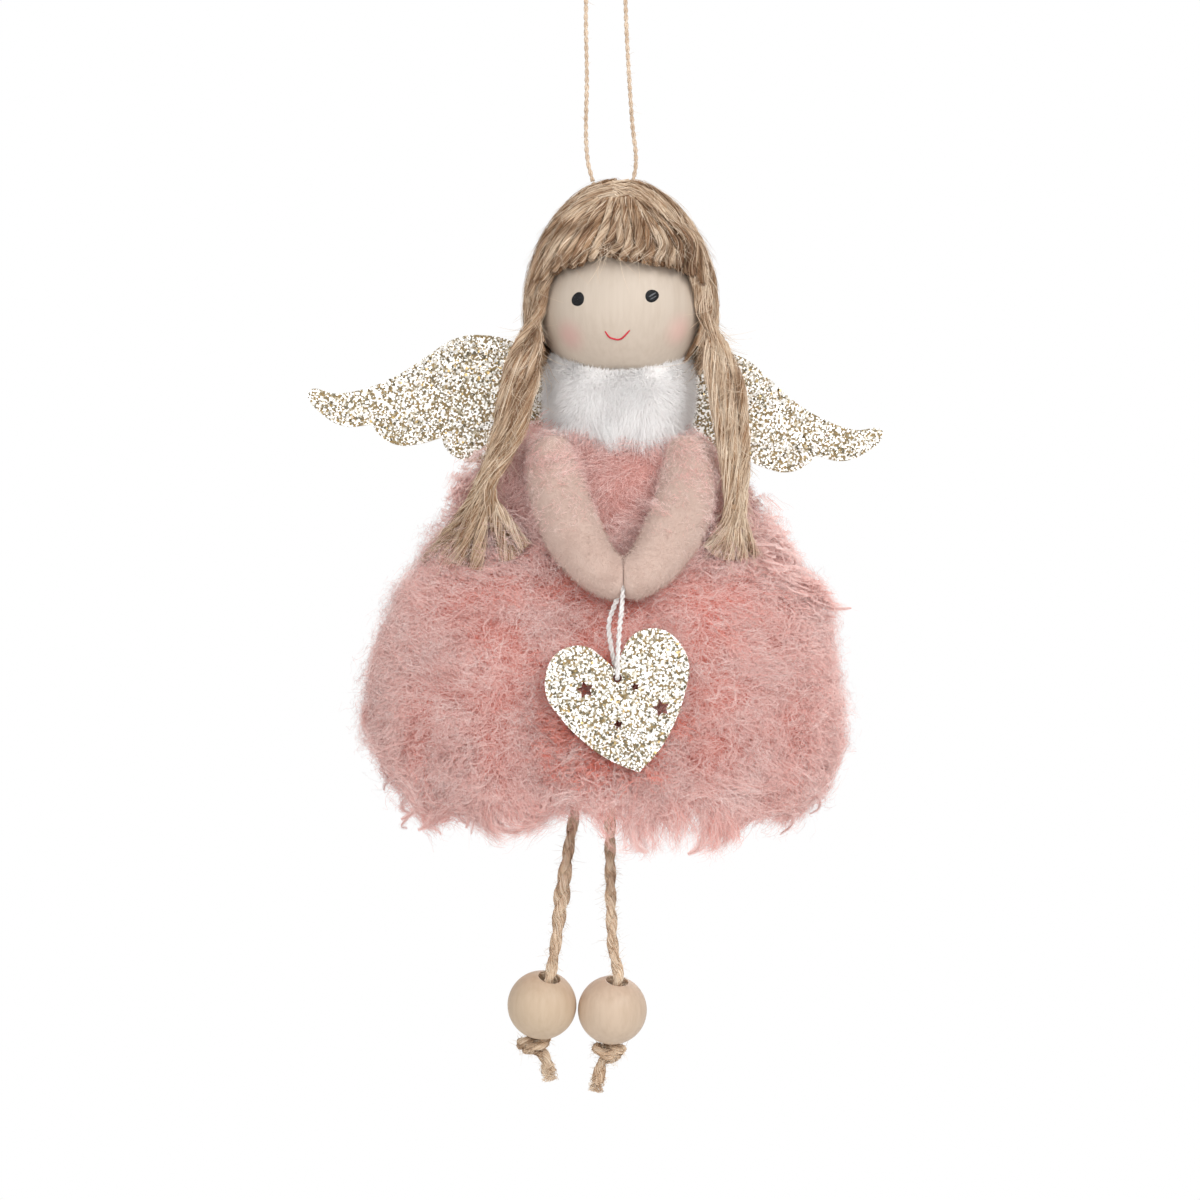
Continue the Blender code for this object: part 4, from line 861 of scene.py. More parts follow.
GROUND_TONES = ((0.0, (84, 75, 56)), (0.22, (142, 118, 76)), (0.38, (102, 94, 76)), (0.52, (186, 175, 152)),
                (0.62, (253, 251, 247)))


def make_glitter(node, body, rng, golden):
    """Glitter on the front of a plate, over its own ground of fine grains; golden gives its gold share."""
    ground = glitter_ground(f"{node}_ground", GROUND_TONES, 0.42)
    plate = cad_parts[node]
    plate.data.materials.clear()
    plate.data.materials.append(WING_BACK)
    plate.data.materials.append(ground)
    for face in plate.data.polygons:
        face.material_index = 1 if face.normal.y < FRONT else 0
    places, normals = front_points(node, rng)
    clear = clear_of_rims(node, places)
    places, normals = places[clear], normals[clear]
    roll, gold = rng.random(len(places)), golden(places)
    share = np.where(roll < 0.58 - 0.3 * gold, 0, np.where(roll < 0.66 - 0.2 * gold, 1,
                     np.where(roll < 0.76 + 0.04 * gold, 2, 3)))
    add_flakes(f"{node}_flake", places, normals, (FLAKE_WHITE, FLAKE_SILVER, FLAKE_GOLD, FLAKE_OLIVE), share,
               body, rng)


# Head


def on_face(x, z, lift=0.0):
    """The point of the ball's front at an x and a height, raised by lift."""
    dx, dz = x - HEAD[0], z - HEAD[2]
    y = -np.sqrt(HEAD_RADIUS ** 2 - dx ** 2 - dz ** 2)
    out = np.stack([dx + 0 * y, y, dz + 0 * y], -1) / HEAD_RADIUS
    return HEAD + out * (HEAD_RADIUS + lift)


def paint_spot(name, x, z, half_width, half_height, tilt, material, rng, lift=0.05, crown=0.06):
    """A spot of paint on the face, its rim a little uneven."""
    steps, rings = 40, 6
    turn = np.linspace(0, 2 * np.pi, steps, endpoint=False)
    rim = 1 + 0.035 * np.sin(2 * turn + 1.0) + 0.03 * np.sin(3 * turn + rng.uniform(0, 6))
    share = np.linspace(0.02, 1.0, rings)[:, None]
    u = share * half_width * np.cos(turn) * rim
    v = share * half_height * np.sin(turn) * rim
    lean = math.radians(tilt)
    xs = x + u * math.cos(lean) - v * math.sin(lean)
    zs = z + u * math.sin(lean) + v * math.cos(lean)
    height = lift + crown * (1 - share ** 3) * np.ones_like(xs)
    height[-1] = -0.02
    points = on_face(xs.ravel(), zs.ravel(), height.reshape(-1, 1))
    return add_piece(name, points, ring_faces(rings, steps), material, "doll")


def bored_ball(radius, bore, steps):
    """Points and faces of a ball with a bore along Z, its mouths slightly rounded."""
    low = math.asin(bore / radius)
    angles = np.linspace(low + 0.035, np.pi - low - 0.035, 80)
    half = radius * math.cos(low)
    outside = [(radius * math.sin(a), radius * math.cos(a)) for a in angles]
    mouth = [(bore + 0.06, -half + 0.02), (bore, -half + 0.35)]
    inside = [(bore, z) for z in np.linspace(-half + 0.8, half - 0.8, 12)]
    rows = outside + mouth + inside + [(r, -z) for r, z in reversed(mouth)] + outside[:1]
    return turned(rows[::-1], steps)


# Blush on the cheeks: middle, where it starts to fade, where it ends, strength and colour
BLUSHES = (((-8.2, -12.2, -86.8), 0.3, 5.0, 0.42, (218, 158, 157)),
           ((15.2, -11.6, -85.6), 0.3, 5.2, 0.42, (236, 184, 178)))
# Eyes, and on the right one two grey marks of painted highlight: x, height, half width, half height and tilt in
# degrees
EYES = {"eye_left": (-6.45, -79.2, 1.32, 1.62, -14), "eye_right": (9.35, -78.6, 1.5, 1.42, 20)}
EYE_HIGHLIGHTS = {"eye_right_highlight": (9.4, -78.35, 1.0, 0.2, 32),
               "eye_right_highlight_low": (9.55, -79.0, 0.9, 0.16, 30)}
MOUTH = ((-0.68, 0, -86.1), (0.2, 0, -87.3), (1.35, 0, -87.75), (2.3, 0, -87.85), (3.2, 0, -87.4),
         (4.64, 0, -85.9))
MOUTH_LINE = 0.2  # radius of the painted line


def make_face(rng):
    """The bored wooden ball with its grain and blush, and the painted eyes and mouth."""
    points, faces = bored_ball(HEAD_RADIUS, HEAD_BORE_RADIUS, 144)
    grained = wood("head_wood", (198, 183, 167), (205, 191, 176), (1.0, 1.0, 0.05), BLUSHES, 0.012)
    head = add_piece("head_wood_ball", points + HEAD, faces, grained, "doll")
    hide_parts("head_ball")
    black, tree, shader = new_material("eye_paint", 0.6, 0.0, 0.0, 0.2)
    link(tree, ramp(tree, noise(tree, scaled_place(tree, (1, 1, 2.2)), 1.4), (0.45, srgb(14, 14, 16)),
                    (0.8, srgb(44, 44, 48))), shader.inputs["Base Color"])
    # Grey paint for the right eye's painted highlight
    grey = mottled("eye_highlight", (78, 80, 84), (112, 114, 118), 0.8, 0.45)
    red, tree, shader = new_material("mouth_paint", 0.45)
    link(tree, ramp(tree, noise(tree, scaled_place(tree), 1.0), (0.4, srgb(190, 26, 48)),
                    (0.7, srgb(208, 42, 62))), shader.inputs["Base Color"])
    for name, spot in EYES.items():
        paint_spot(name, *spot, black, rng)
    # The painted highlight on the right eye
    for name, spot in EYE_HIGHLIGHTS.items():
        paint_spot(name, *spot, grey, rng, lift=0.12, crown=0.03)
    mouth = smooth_route(MOUTH, 0.25)
    line = on_face(mouth[:, 0], mouth[:, 2], 0.02)
    width = MOUTH_LINE * (1 - 0.4 * np.abs(np.linspace(-1, 1, len(line))) ** 6)
    points, faces = tubes(line[None], width[None], 8)
    add_piece("mouth_line", points, faces, red, "doll")


# Hair


def cap_table():
    """Distance of the hair's outside from the ball's middle against the height angle."""
    widest = -1.0  # height of its widest ring over the ball's middle
    rows = []
    for k in range(25):
        angle = math.radians(90.0 * k / 24)
        rows.append((CAP_RADIUS * math.sin(angle) ** 1.12, widest + (CAP_RISE - widest) * math.cos(angle)))
    for k in range(1, 9):
        share = k / 8
        rows.append((CAP_RADIUS * (1 - 0.2 * share ** 2), widest - (CAP_NAPE_DROP + widest) * share))
    rows = np.array(rows)
    return np.arctan2(rows[:, 1], rows[:, 0])[::-1], np.hypot(rows[:, 0], rows[:, 1])[::-1]


CAP_ANGLES, CAP_REACH = cap_table()


def cap_place(direction, lift):
    """The hair's surface in a direction from the ball's middle, raised by lift."""
    height = np.arcsin(np.clip(direction[..., 2], -1, 1))
    reach = np.interp(height, CAP_ANGLES, CAP_REACH)
    return HEAD + direction * (reach + lift)[..., None]


def aim(turn_deg, up_deg):
    """A direction from the ball's middle; a turn of 0 faces the viewer, positive to the right."""
    turn, up = np.radians(turn_deg), np.radians(up_deg)
    return np.stack([np.cos(up) * np.sin(turn), -np.cos(up) * np.cos(turn), np.sin(up) + 0 * turn], -1)


def sweep(first, last, steps):
    """Directions from one to the other along the shortest way round."""
    angle = math.acos(float(np.clip(first @ last, -1, 1)))
    t = np.linspace(0, 1, steps)[:, None]
    return (np.sin((1 - t) * angle) * first + np.sin(t * angle) * last) / max(math.sin(angle), 1e-6)


CAP_BASE_DEPTH = 2.1  # of the closed base below the hair's outside
CAP_YARNS = 42  # on each side
CAP_FIBRES = 84  # in a yarn
CAP_STEPS = 22  # points along a yarn
CAP_STRAYS = 1700
# A thin lock that fills the gap between the cap and the right tail
WISP = ((21.2, -6.5, -80.5), (20.2, -6.0, -84.5), (18.6, -5.0, -88.5), (16.2, -3.4, -92.5), (14.4, -1.5, -95.0))


def make_cap(rng):
    """Yarn laid from the parting over the crown and down the back and the back of both sides."""
    reach = CAP_REACH[::-1] - CAP_BASE_DEPTH
    profile = [(max(0.05, math.cos(a) * r), HEAD[2] + math.sin(a) * r) for a, r in zip(CAP_ANGLES[::-1], reach)]
    points, faces = turned(profile, 72, HEAD[0])
    keep = (points[faces][:, :, 1] > PARTING_Y + 0.6).all(axis=1)
    base = add_piece("hair_base", points, faces[keep], JUTE_WARM, "doll")
    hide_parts("hair_cap")
    lines, cores = [], []
    for side in (-1, 1):
        for row in range(CAP_YARNS):
            v = row / (CAP_YARNS - 1)
            start = unit(aim(180.0, 88 - v * 60) + np.array((side * 0.04, 0, 0)))
            low = -24.0 - 14 * min(1.0, 5 * v) - 7 * v + rng.uniform(-3.5, 2.5)
            way = sweep(start, aim(side * (66 + 114 * v ** 0.9), low), CAP_STEPS)
            path = cap_place(way, np.full(CAP_STEPS, rng.uniform(-1.5, -0.9)))
            lines.append(yarn(rng, path, 1.15, CAP_FIBRES, rng.uniform(1.0, 2.4), loose=0.25, flat=(0.75, 1.05),
                              outward=way, core=0.3, astray=0.4))
            cores.append(path - way * 0.7)
    add_yarns("hair_cap_fibre", np.vstack(lines), cores, CAP_FIBRES, 0.14, JUTE_SHADES, "doll", rng)
    add_fibres("hair_cap_core", np.array(cores), YARN_CORE, (JUTE_WARM,), "doll", rng, 6)
    out = aim(rng.uniform(55, 305, CAP_STRAYS), rng.uniform(-32, 86, CAP_STRAYS))
    add_fibres("hair_cap_stray", over_dome(rng, out, None, 10.0, 0.35), JUTE_STRAY * thin_ends(STRAY_STEPS),
               (JUTE_PALE, JUTE_LIGHT, JUTE_MID), "doll", rng, facing=out)
    wisp = yarn(rng, smooth_route(WISP, 0.5), 0.45, 40, 1.5, 0.3)
    add_fibres("hair_wisp", wisp, 0.1, (JUTE_WARM, JUTE_MID), "doll", rng)


# Fringe locks: x and z of their top, middle and edge, from left to right
FRINGE = (
    ((-8.2, -60.0), (-13.4, -66.6), (-17.0, -77.6)), ((-7.2, -60.4), (-11.8, -66.3), (-15.6, -75.6)),
    ((-6.2, -60.6), (-10.2, -66.3), (-13.8, -74.4)), ((-5.2, -60.6), (-8.7, -66.9), (-11.9, -73.0)),
    ((-3.9, -60.9), (-6.8, -66.3), (-9.7, -72.0)), ((-2.6, -61.2), (-5.1, -66.3), (-7.8, -71.8)),
    ((-1.3, -61.5), (-3.3, -66.3), (-6.0, -71.3)), ((-0.1, -62.1), (-1.5, -66.3), (-4.0, -70.6)),
    ((1.2, -62.6), (0.7, -66.7), (-1.6, -69.5)), ((2.2, -63.0), (2.5, -67.4), (0.6, -69.9)),
    ((3.8, -63.1), (4.4, -68.0), (2.7, -70.7)), ((5.7, -63.5), (6.6, -68.2), (5.1, -70.8)),
    ((7.2, -63.2), (8.9, -68.6), (7.7, -71.1)), ((7.8, -62.5), (11.3, -67.6), (10.4, -71.5)),
    ((8.4, -61.6), (13.2, -67.4), (13.0, -71.8)), ((9.0, -61.0), (15.0, -66.9), (15.4, -72.4)),
    ((9.4, -60.4), (16.8, -66.4), (18.0, -73.4)), ((9.8, -59.8), (18.3, -66.0), (20.2, -75.4)))
FRINGE_TOP_REACH = 22.9
FRINGE_EDGE_REACH = 20.9
FRINGE_STEPS = 28  # points along a lock
FRINGE_FIBRES = 104  # in a lock
FRINGE_STRAYS = 700


def before_head(x, z, reach):
    """The point in front of the ball's middle at an x, a height and a distance from that middle."""
    dx, dz = x - HEAD[0], z - HEAD[2]
    return np.array((x, -math.sqrt(max(4.0, reach ** 2 - dx ** 2 - dz ** 2)), z))


def fringe_path(top, middle, edge, lower):
    """A lock's middle line: from under the crown band down, with its end curled back under."""
    reach = FRINGE_TOP_REACH - lower
    lift = before_head(1.8 + 0.5 * (top[0] - 1.8), -57.4, 25.6 - lower)
    tip = before_head(edge[0] + 0.25, edge[1] + 1.0, FRINGE_EDGE_REACH - 1.9)
    route = (lift, before_head(*top, reach + 0.9), before_head(*middle, reach + 0.5),
             before_head(0.25 * middle[0] + 0.75 * edge[0], 0.25 * middle[1] + 0.75 * edge[1], reach - 0.5),
             before_head(*edge, FRINGE_EDGE_REACH - 0.4 * lower), tip)
    return resampled(smooth_route(route, 0.5), FRINGE_STEPS)


def make_fringe(rng):
    """Two layers of locks that fan from the crown and curl in over the forehead."""
    s = np.linspace(0, 1, FRINGE_STEPS)
    between = [tuple((np.array(a) + np.array(b)) / 2 for a, b in zip(*pair)) for pair in zip(FRINGE, FRINGE[1:])]
    # The under layer, set deeper, takes darker shades: painted shade in the gaps between the front locks
    for label, lower, group, shades in (("front", 0.5, FRINGE, JUTE_SHADES),
                                        ("under", 1.7, between, (JUTE_WARM, JUTE_MID, JUTE_DARK))):
        lines, cores = [], []
        for top, middle, edge in group:
            shake = rng.normal(0, 0.2, (3, 2))
            path = fringe_path(top + shake[0], middle + shake[1], edge + shake[2], lower)
            out = unit(path - HEAD)
            size = rng.uniform(0.88, 1.1)
            width = size * np.interp(s, (0, 0.3, 0.7, 0.92, 1.0), (0.7, 0.86, 0.92, 0.9, 0.6))
            lines.append(yarn(rng, path, width, FRINGE_FIBRES, rng.uniform(0.9, 1.6), loose=0.14, outward=out,
                              core=0.45, astray=0.2))
            cores.append(path - out * 0.1)
        add_yarns(f"fringe_{label}", np.vstack(lines), cores, FRINGE_FIBRES, JUTE_FIBRE, shades, "doll",
                  rng)
        core = add_fibres(f"fringe_{label}_core", np.array(cores), 1.2 * np.interp(s, (0, 0.9, 1), (1, 1, 0.3)),
                          (JUTE_WARM,), "doll", rng, 6)
        if label == "front":
            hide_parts("hair_fringe")
    out = aim(rng.uniform(-75, 72, FRINGE_STRAYS), rng.uniform(24, 84, FRINGE_STRAYS))
    add_fibres("fringe_stray", over_dome(rng, out, FRINGE_STRAY_REACH, 9.0, 0.4), 0.07 * thin_ends(STRAY_STEPS),
               (JUTE_LIGHT, JUTE_PALE), "doll", rng, facing=out)


# Tails: their shades, their route from the temple to the waist, and x and z of their cut ends
TAILS = {
    "left": dict(
        astray=0.5, shades=(JUTE_PALE, JUTE_MID, JUTE_WARM, JUTE_PALE, JUTE_MID, JUTE_LIGHT, JUTE_DARK),
        route=((-16.6, -8.0, -81.0), (-17.6, -10.0, -90.0), (-19.6, -14.8, -100.0), (-22.2, -17.4, -109.6),
               (-26.3, -17.6, -119.0)),
        ends=((-38.4, -134.6), (-35.0, -136.2), (-31.6, -136.4), (-28.2, -136.8), (-21.6, -134.8),
              (-18.2, -133.0))),
    "right": dict(
        astray=1.0, shades=(JUTE_LIGHT, JUTE_PALE, JUTE_LIGHT, JUTE_MID, JUTE_LIGHT, JUTE_PALE),
        route=((22.4, -8.0, -83.0), (24.0, -10.6, -92.0), (25.8, -15.0, -101.0), (26.7, -17.4, -113.0),
               (26.8, -17.8, -125.0)),
        ends=((22.0, -133.4), (25.4, -134.8), (28.4, -134.6), (31.2, -133.2))),
}


TAIL_STEPS = 44  # points along a lock
TAIL_FIBRES = 100  # in a lock
TAIL_STRAYS = 1500
TAIL_SPREAD = (2.1, 2.5, 2.3, 1.35)  # half width of the tail along its route, below the temple


def dress_front_y(x, z):
    """The y of the fur's outside in front, at an x and a height."""
    across = min(0.98, abs(x - DRESS_X) / at_height(DRESS_RINGS, z))
    return -at_height(DRESS_RINGS, z, 2) * math.sqrt(1 - across ** 2)


def make_tail(side, rng):
    """Yarn from the parting over the crown, down the temple and into a tied tail with cut ends."""
    facts = TAILS[side]
    sign = -1 if side == "left" else 1
    node = f"hair_tail_{side}"
    trunk = [np.array(p) for p in facts["route"]]
    pivot, waist = trunk[0], trunk[-1]
    bend = ("doll", f"tail_{side}", tuple((pivot + (0, 0, 5)) * MM), tuple((pivot - (0, 0, 7)) * MM))
    ends = facts["ends"]
    across = np.linspace(-1, 1, len(ends))
    s = np.linspace(0, 1, TAIL_STEPS)
    sway = np.clip((s - 0.35) / 0.2, 0, 1) * 0.5
    lines, cores = [], []
    for depth in (-1, 1):
        for k, (x, z) in enumerate(ends):
            order = (k + 0.5 * (depth + 1)) / len(ends)
            crown_y = -12.0 + 11.0 * (1 - order if sign > 0 else order)
            temple = pivot + np.array((0.4 * depth, 1.8 * across[k] * sign * -1, 1.0 * across[k]))
            way = sweep(unit(np.array((-sign * 0.07, crown_y / 28.0, 1.0))), unit(temple - HEAD), 7)
            dome = cap_place(way, np.full(7, rng.uniform(-1.9, -1.1)))
            end = np.array((x + 0.5 * depth, dress_front_y(x, z) - 1.5 - 0.9 * depth, z + 0.5 * rng.normal()))
            mid = (waist * 2 + end * 3) / 5
            mid[1] = min(dress_front_y(mid[0], mid[2]) - 2.2, (waist[1] + end[1]) / 2) - 0.6 * depth
            knots = [p + np.array((w * across[k], w * depth * 0.55, 0)) for p, w in zip(trunk[1:], TAIL_SPREAD)]
            path = resampled(smooth_route([*dome, *knots, mid, end], 1.0), TAIL_STEPS)
            path[:, 0] += sway * np.sin(13 * s + rng.uniform(0, 6))
            path[:, 1] += 0.6 * sway * np.sin(11 * s + rng.uniform(0, 6))
            width = np.interp(s, (0, 0.3, 0.45, 0.8, 0.86, 0.96, 1.0), (1.0, 1.05, 1.2, 1.1, 1.0, 1.25, 1.45))
            lines.append(yarn(rng, path, width, TAIL_FIBRES, rng.uniform(3.0, 5.0), 0.25, astray=facts["astray"]))
            cores.append(path)
    made = np.vstack(lines)
    add_yarns(f"{node}_fibre", made, cores, TAIL_FIBRES, JUTE_FIBRE, facts["shades"], bend, rng)
    core = add_fibres(f"{node}_core", np.array(cores), YARN_CORE, (JUTE_WARM,), bend, rng, 6)
    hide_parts(node)
    pick, step = rng.integers(0, len(made), TAIL_STRAYS), rng.integers(17, TAIL_STEPS - 1, TAIL_STRAYS)
    roots = made[pick, step]
    out = unit((roots - np.mean(cores, axis=0)[step]) * (1, 1, 0.2) + rng.normal(0, 0.3, (TAIL_STRAYS, 3)))
    along = unit(made[pick, step] - made[pick, step - 1])
    hairs = arches(rng, roots, out, along, 6.0, 0.7)
    add_fibres(f"{node}_stray", hairs, JUTE_STRAY * thin_ends(STRAY_STEPS), (JUTE_LIGHT, JUTE_PALE),
               bend, rng, facing=out)
    make_tie(side, waist, unit(waist - trunk[-2]), rng)


TIE_HALF_WIDTH = 2.0
TIE_HALF_DEPTH = 1.8
TIE_THREAD = 0.4


def make_tie(side, waist, along, rng):
    """Three turns of thread round the tail's waist, hidden under its outer yarn."""
    across = unit(np.cross(along, (0, 1, 0)))
    other = np.cross(along, across)
    steps = 90
    turn = np.linspace(0, 6 * np.pi, steps)
    path = (waist - along * 1.2 + np.outer(np.linspace(-0.5, 0.5, steps), along)
            + TIE_HALF_WIDTH * np.outer(np.cos(turn), across) + TIE_HALF_DEPTH * np.outer(np.sin(turn), other))
    points, faces = tubes(path[None], np.full((1, steps), TIE_THREAD / 2), 8)
    thread = add_piece(f"tie_thread_{side}", points, faces, JUTE_MID, f"tail_{side}")
    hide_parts(f"hair_tie_{side}")
    wound = yarn(rng, path, 0.24, 8, 30, 0.1, core=0.9)
    add_fibres(f"tie_fibre_{side}", wound, 0.07, (JUTE_PALE, JUTE_WARM), f"tail_{side}", rng)


# Collar, dress, body and arms


def make_pile(name, places, normals, lay, length, width, steps, shades, rides, rng, unruly, soft=0.6):
    """Short straight pile that leans along lay."""
    count = len(places)
    s = np.linspace(0, 1, steps)[None, :, None]
    way = unit(normals + lay + rng.normal(0, unruly, (count, 3)))
    droop = lay + rng.normal(0, unruly, (count, 3))
    size = length * rng.uniform(0.6, 1.15, (count, 1, 1))
    lines = places[:, None] + size * (way[:, None] * s + droop[:, None] * 0.45 * s ** 2)
    return add_fibres(name, lines, width * thin_ends(steps, 0.25), shades, rides, rng,
                      facing=lit_way(normals), scatter=0.4, soft=soft)


def lit_way(out, rise=0.3):
    """Facing for soft pile, whose sides stay light because each fibre lets light through."""
    return unit(out * (0.55, 1.0, 0.5) + np.column_stack([0 * out[:, 0], 0.6 * np.sign(out[:, 1]),
                                                          rise + 0 * out[:, 0]]))


COLLAR_TOP = -89.4
COLLAR_BOTTOM = -108.6
COLLAR_X = 2.4
COLLAR_DEPTH = 0.9  # its depth as a share of its width
COLLAR_PILE = 62000
COLLAR_EDGE_Z = -104.5  # longer pile below this height


def collar_shape(tilt):
    """Radius and height of the collar's outside, a half tube, at a tilt from its top to its bottom."""
    return 11.6 + 3.9 * np.cos(tilt) ** 0.7, (COLLAR_TOP + COLLAR_BOTTOM) / 2 - 9.2 * np.sin(tilt)


def collar_dip(angle, z):
    """How far the collar's upper part gives way under the chin."""
    share = np.clip((z - COLLAR_BOTTOM) / (COLLAR_TOP - COLLAR_BOTTOM), 0, 1)
    return 5.2 * share * np.clip(-np.sin(angle), 0, 1) ** 1.5


def make_collar(rng):
    """A stuffed ring of white plush, its pile brushed down, longer along its lower edge."""
    rows = [*np.column_stack(collar_shape(np.radians(np.linspace(-80, 80, 21)))), (8.2, COLLAR_BOTTOM + 2.0)]
    points, faces = turned(rows, 96, COLLAR_X, COLLAR_DEPTH)
    points[:, 2] -= collar_dip(np.arctan2(points[:, 1], points[:, 0] - COLLAR_X), points[:, 2])
    base = add_piece("collar_base", points, faces, PLUSH_PILE, "doll")
    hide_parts("collar")
    angle = rng.uniform(0, 2 * np.pi, COLLAR_PILE)
    tilt = np.radians(rng.uniform(-84, 88, COLLAR_PILE))
    radius, height = collar_shape(tilt)
    places = np.column_stack([COLLAR_X + radius * np.cos(angle), COLLAR_DEPTH * radius * np.sin(angle), height])
    places[:, 2] -= collar_dip(angle, places[:, 2])
    out = unit(np.column_stack([np.cos(angle) * np.cos(tilt), np.sin(angle) * np.cos(tilt), -np.sin(tilt)]))
    lay = np.column_stack([0 * angle, 0 * angle, -0.55 + 0 * angle]) + 0.35 * np.column_stack(
        [drift(places, rng, 9.0), drift(places, rng, 9.0), 0 * angle])
    make_pile("collar_pile", places, out, lay, 1.8, 0.08, 4, (PLUSH_PILE, PLUSH_PILE, PLUSH_SHADE),
              "doll", rng, unruly=0.3, soft=0.75)
    low = (places[:, 2] < COLLAR_EDGE_Z) & (rng.random(COLLAR_PILE) < 0.5)
    make_pile("collar_edge", places[low], out[low], lay[low] * 1.6, 3.4, 0.06, 6, (PLUSH_PILE,),
              "doll", rng, unruly=0.35, soft=0.75)


def dress_place(angle, z, inset):
    """A point of the dress, inset below the fur's outside, its outward direction and the way down."""
    def at(a, h):
        wide = at_height(DRESS_RINGS, h) - inset
        deep = at_height(DRESS_RINGS, h, 2) - inset
        drop = np.clip((WAIST_Z - h) / SKIRT_DROP, 0, 1)
        fold = SKIRT_FOLD_DEPTH * drop * np.cos(SKIRT_FOLDS * a)
        return np.stack([DRESS_X + (wide + fold) * np.cos(a), (deep + fold) * np.sin(a), h], -1)
    here = at(angle, z)
    round_way = at(angle + 0.02, z) - at(angle - 0.02, z)
    down_way = at(angle, z - 0.4) - at(angle, z + 0.4)
    return here, unit(np.cross(down_way, round_way)), unit(down_way)


SHEET_THICKNESS = 0.9


def dress_sheet(name, heights, inset, steps, material):
    """The knitted back of the fur as a thin sheet, with the room inside it open."""
    angle = np.linspace(0, 2 * np.pi, steps, endpoint=False)
    rings = [dress_place(angle, np.full(steps, z), inset + extra)[0]
             for extra, order in ((0.0, heights), (SHEET_THICKNESS, heights[::-1])) for z in order]
    return add_piece(name, np.array(rings).reshape(-1, 3), ring_faces(len(rings), steps, closed=True), material,
                     "doll")


# Lowest fur at an x, and the fur's outermost x on the left and right at a height
HEM_LINE = np.array((
    (-53.0, -173.0), (-48.0, -178.5), (-43.0, -181.5), (-40.9, -186.0), (-36.5, -190.0), (-33.0, -187.0),
    (-27.8, -189.5), (-23.5, -191.5), (-17.0, -190.5), (-13.0, -187.0), (-8.3, -184.5), (-4.0, -186.5),
    (0.4, -193.5), (7.0, -196.5), (15.7, -196.5), (24.3, -195.5), (29.0, -191.5), (33.0, -188.5),
    (41.7, -186.5), (48.3, -181.0), (52.0, -172.0)))
LEFT_LINE = np.array((
    (-106.0, -18.0), (-112.0, -27.0), (-117.4, -31.5), (-124.0, -36.0), (-134.8, -39.0), (-141.3, -44.1),
    (-150.0, -47.6), (-160.9, -50.7), (-167.4, -52.4), (-174.0, -52.0), (-181.0, -46.0), (-190.0, -41.0)))
RIGHT_LINE = np.array((
    (-106.0, 17.0), (-112.0, 25.0), (-118.0, 31.0), (-126.0, 35.5), (-135.0, 41.0), (-141.0, 46.0),
    (-147.0, 48.0), (-152.0, 47.0), (-160.0, 48.0), (-167.0, 49.4), (-181.0, 50.0), (-188.0, 45.0)))


def trimmed(lines, rng):
    """Fibres drawn in where they pass the dress's outline from the front, some more than others."""
    x, z = lines[..., 0].copy(), lines[..., 2].copy()
    slack = rng.exponential(1.5, (len(lines), 1)) - 0.8
    low = np.interp(x, HEM_LINE[:, 0], HEM_LINE[:, 1]) - slack
    lines[..., 2] = np.where(z < low, low + 0.3 * (z - low), z)
    left, right = at_height(LEFT_LINE, z) - slack, at_height(RIGHT_LINE, z) + slack
    lines[..., 0] = np.where(x < left, left + 0.4 * (x - left), np.where(x > right, right + 0.4 * (x - right), x))
    return lines


def drift(places, rng, scale, waves=8):
    """A smooth random field, mostly from -1 to 1, whose swells are about scale across."""
    ways = unit(rng.normal(0, 1, (waves, 3))) * 2 * np.pi / (scale * rng.uniform(0.7, 1.7, (waves, 1)))
    return np.sin(places @ ways.T + rng.uniform(0, 2 * np.pi, waves)).sum(-1) * math.sqrt(2 / waves) * 0.7


# Fur by its tufts: their length and fibres; how far their fibres lie apart, stand out and run down; their
# curl and its turns; how tightly they gather; their frizz, points along a fibre and swirl over the cloth
SKIRT_TUFTS = dict(length=7.8, per_tuft=14, spread=2.0, rise=0.66, fall=0.62, curl=1.2, turns=(0.4, 1.2),
                   tight=0.28, frizz=0.6, steps=10, swirl=1.8)
# Tufts of deep pink behind the heart, painted shade
PAINTED_SHADE_TUFTS = dict(length=6.6, per_tuft=13, spread=1.4, rise=0.95, fall=0.2, curl=0.9, turns=(0.4, 1.0),
                  tight=0.1, frizz=0.4, steps=8, swirl=1.4)
HEM_TUFTS = dict(length=12.5, per_tuft=18, spread=1.4, rise=0.3, fall=0.98, curl=1.5, turns=(0.5, 1.6),
                 tight=0.6, frizz=0.5, steps=13, swirl=0.5)
HAZE_TUFTS = dict(length=8.5, per_tuft=3, spread=1.8, rise=0.85, fall=0.35, curl=1.8, turns=(0.5, 1.3),
                  tight=0.05, frizz=0.9, steps=9, swirl=2.4)
BODICE_TUFTS = dict(length=4.8, per_tuft=14, spread=1.2, rise=0.52, fall=0.66, curl=0.8, turns=(0.3, 1.0),
                    tight=0.3, frizz=0.4, steps=8, swirl=1.6)
SHOULDER_TUFTS = dict(length=3.0, per_tuft=4, spread=0.9, rise=0.4, fall=0.7, curl=0.6, turns=(0.3, 1.0),
                      tight=0.1, frizz=0.5, steps=8, swirl=1.6)
FUR_FIBRE = 0.075


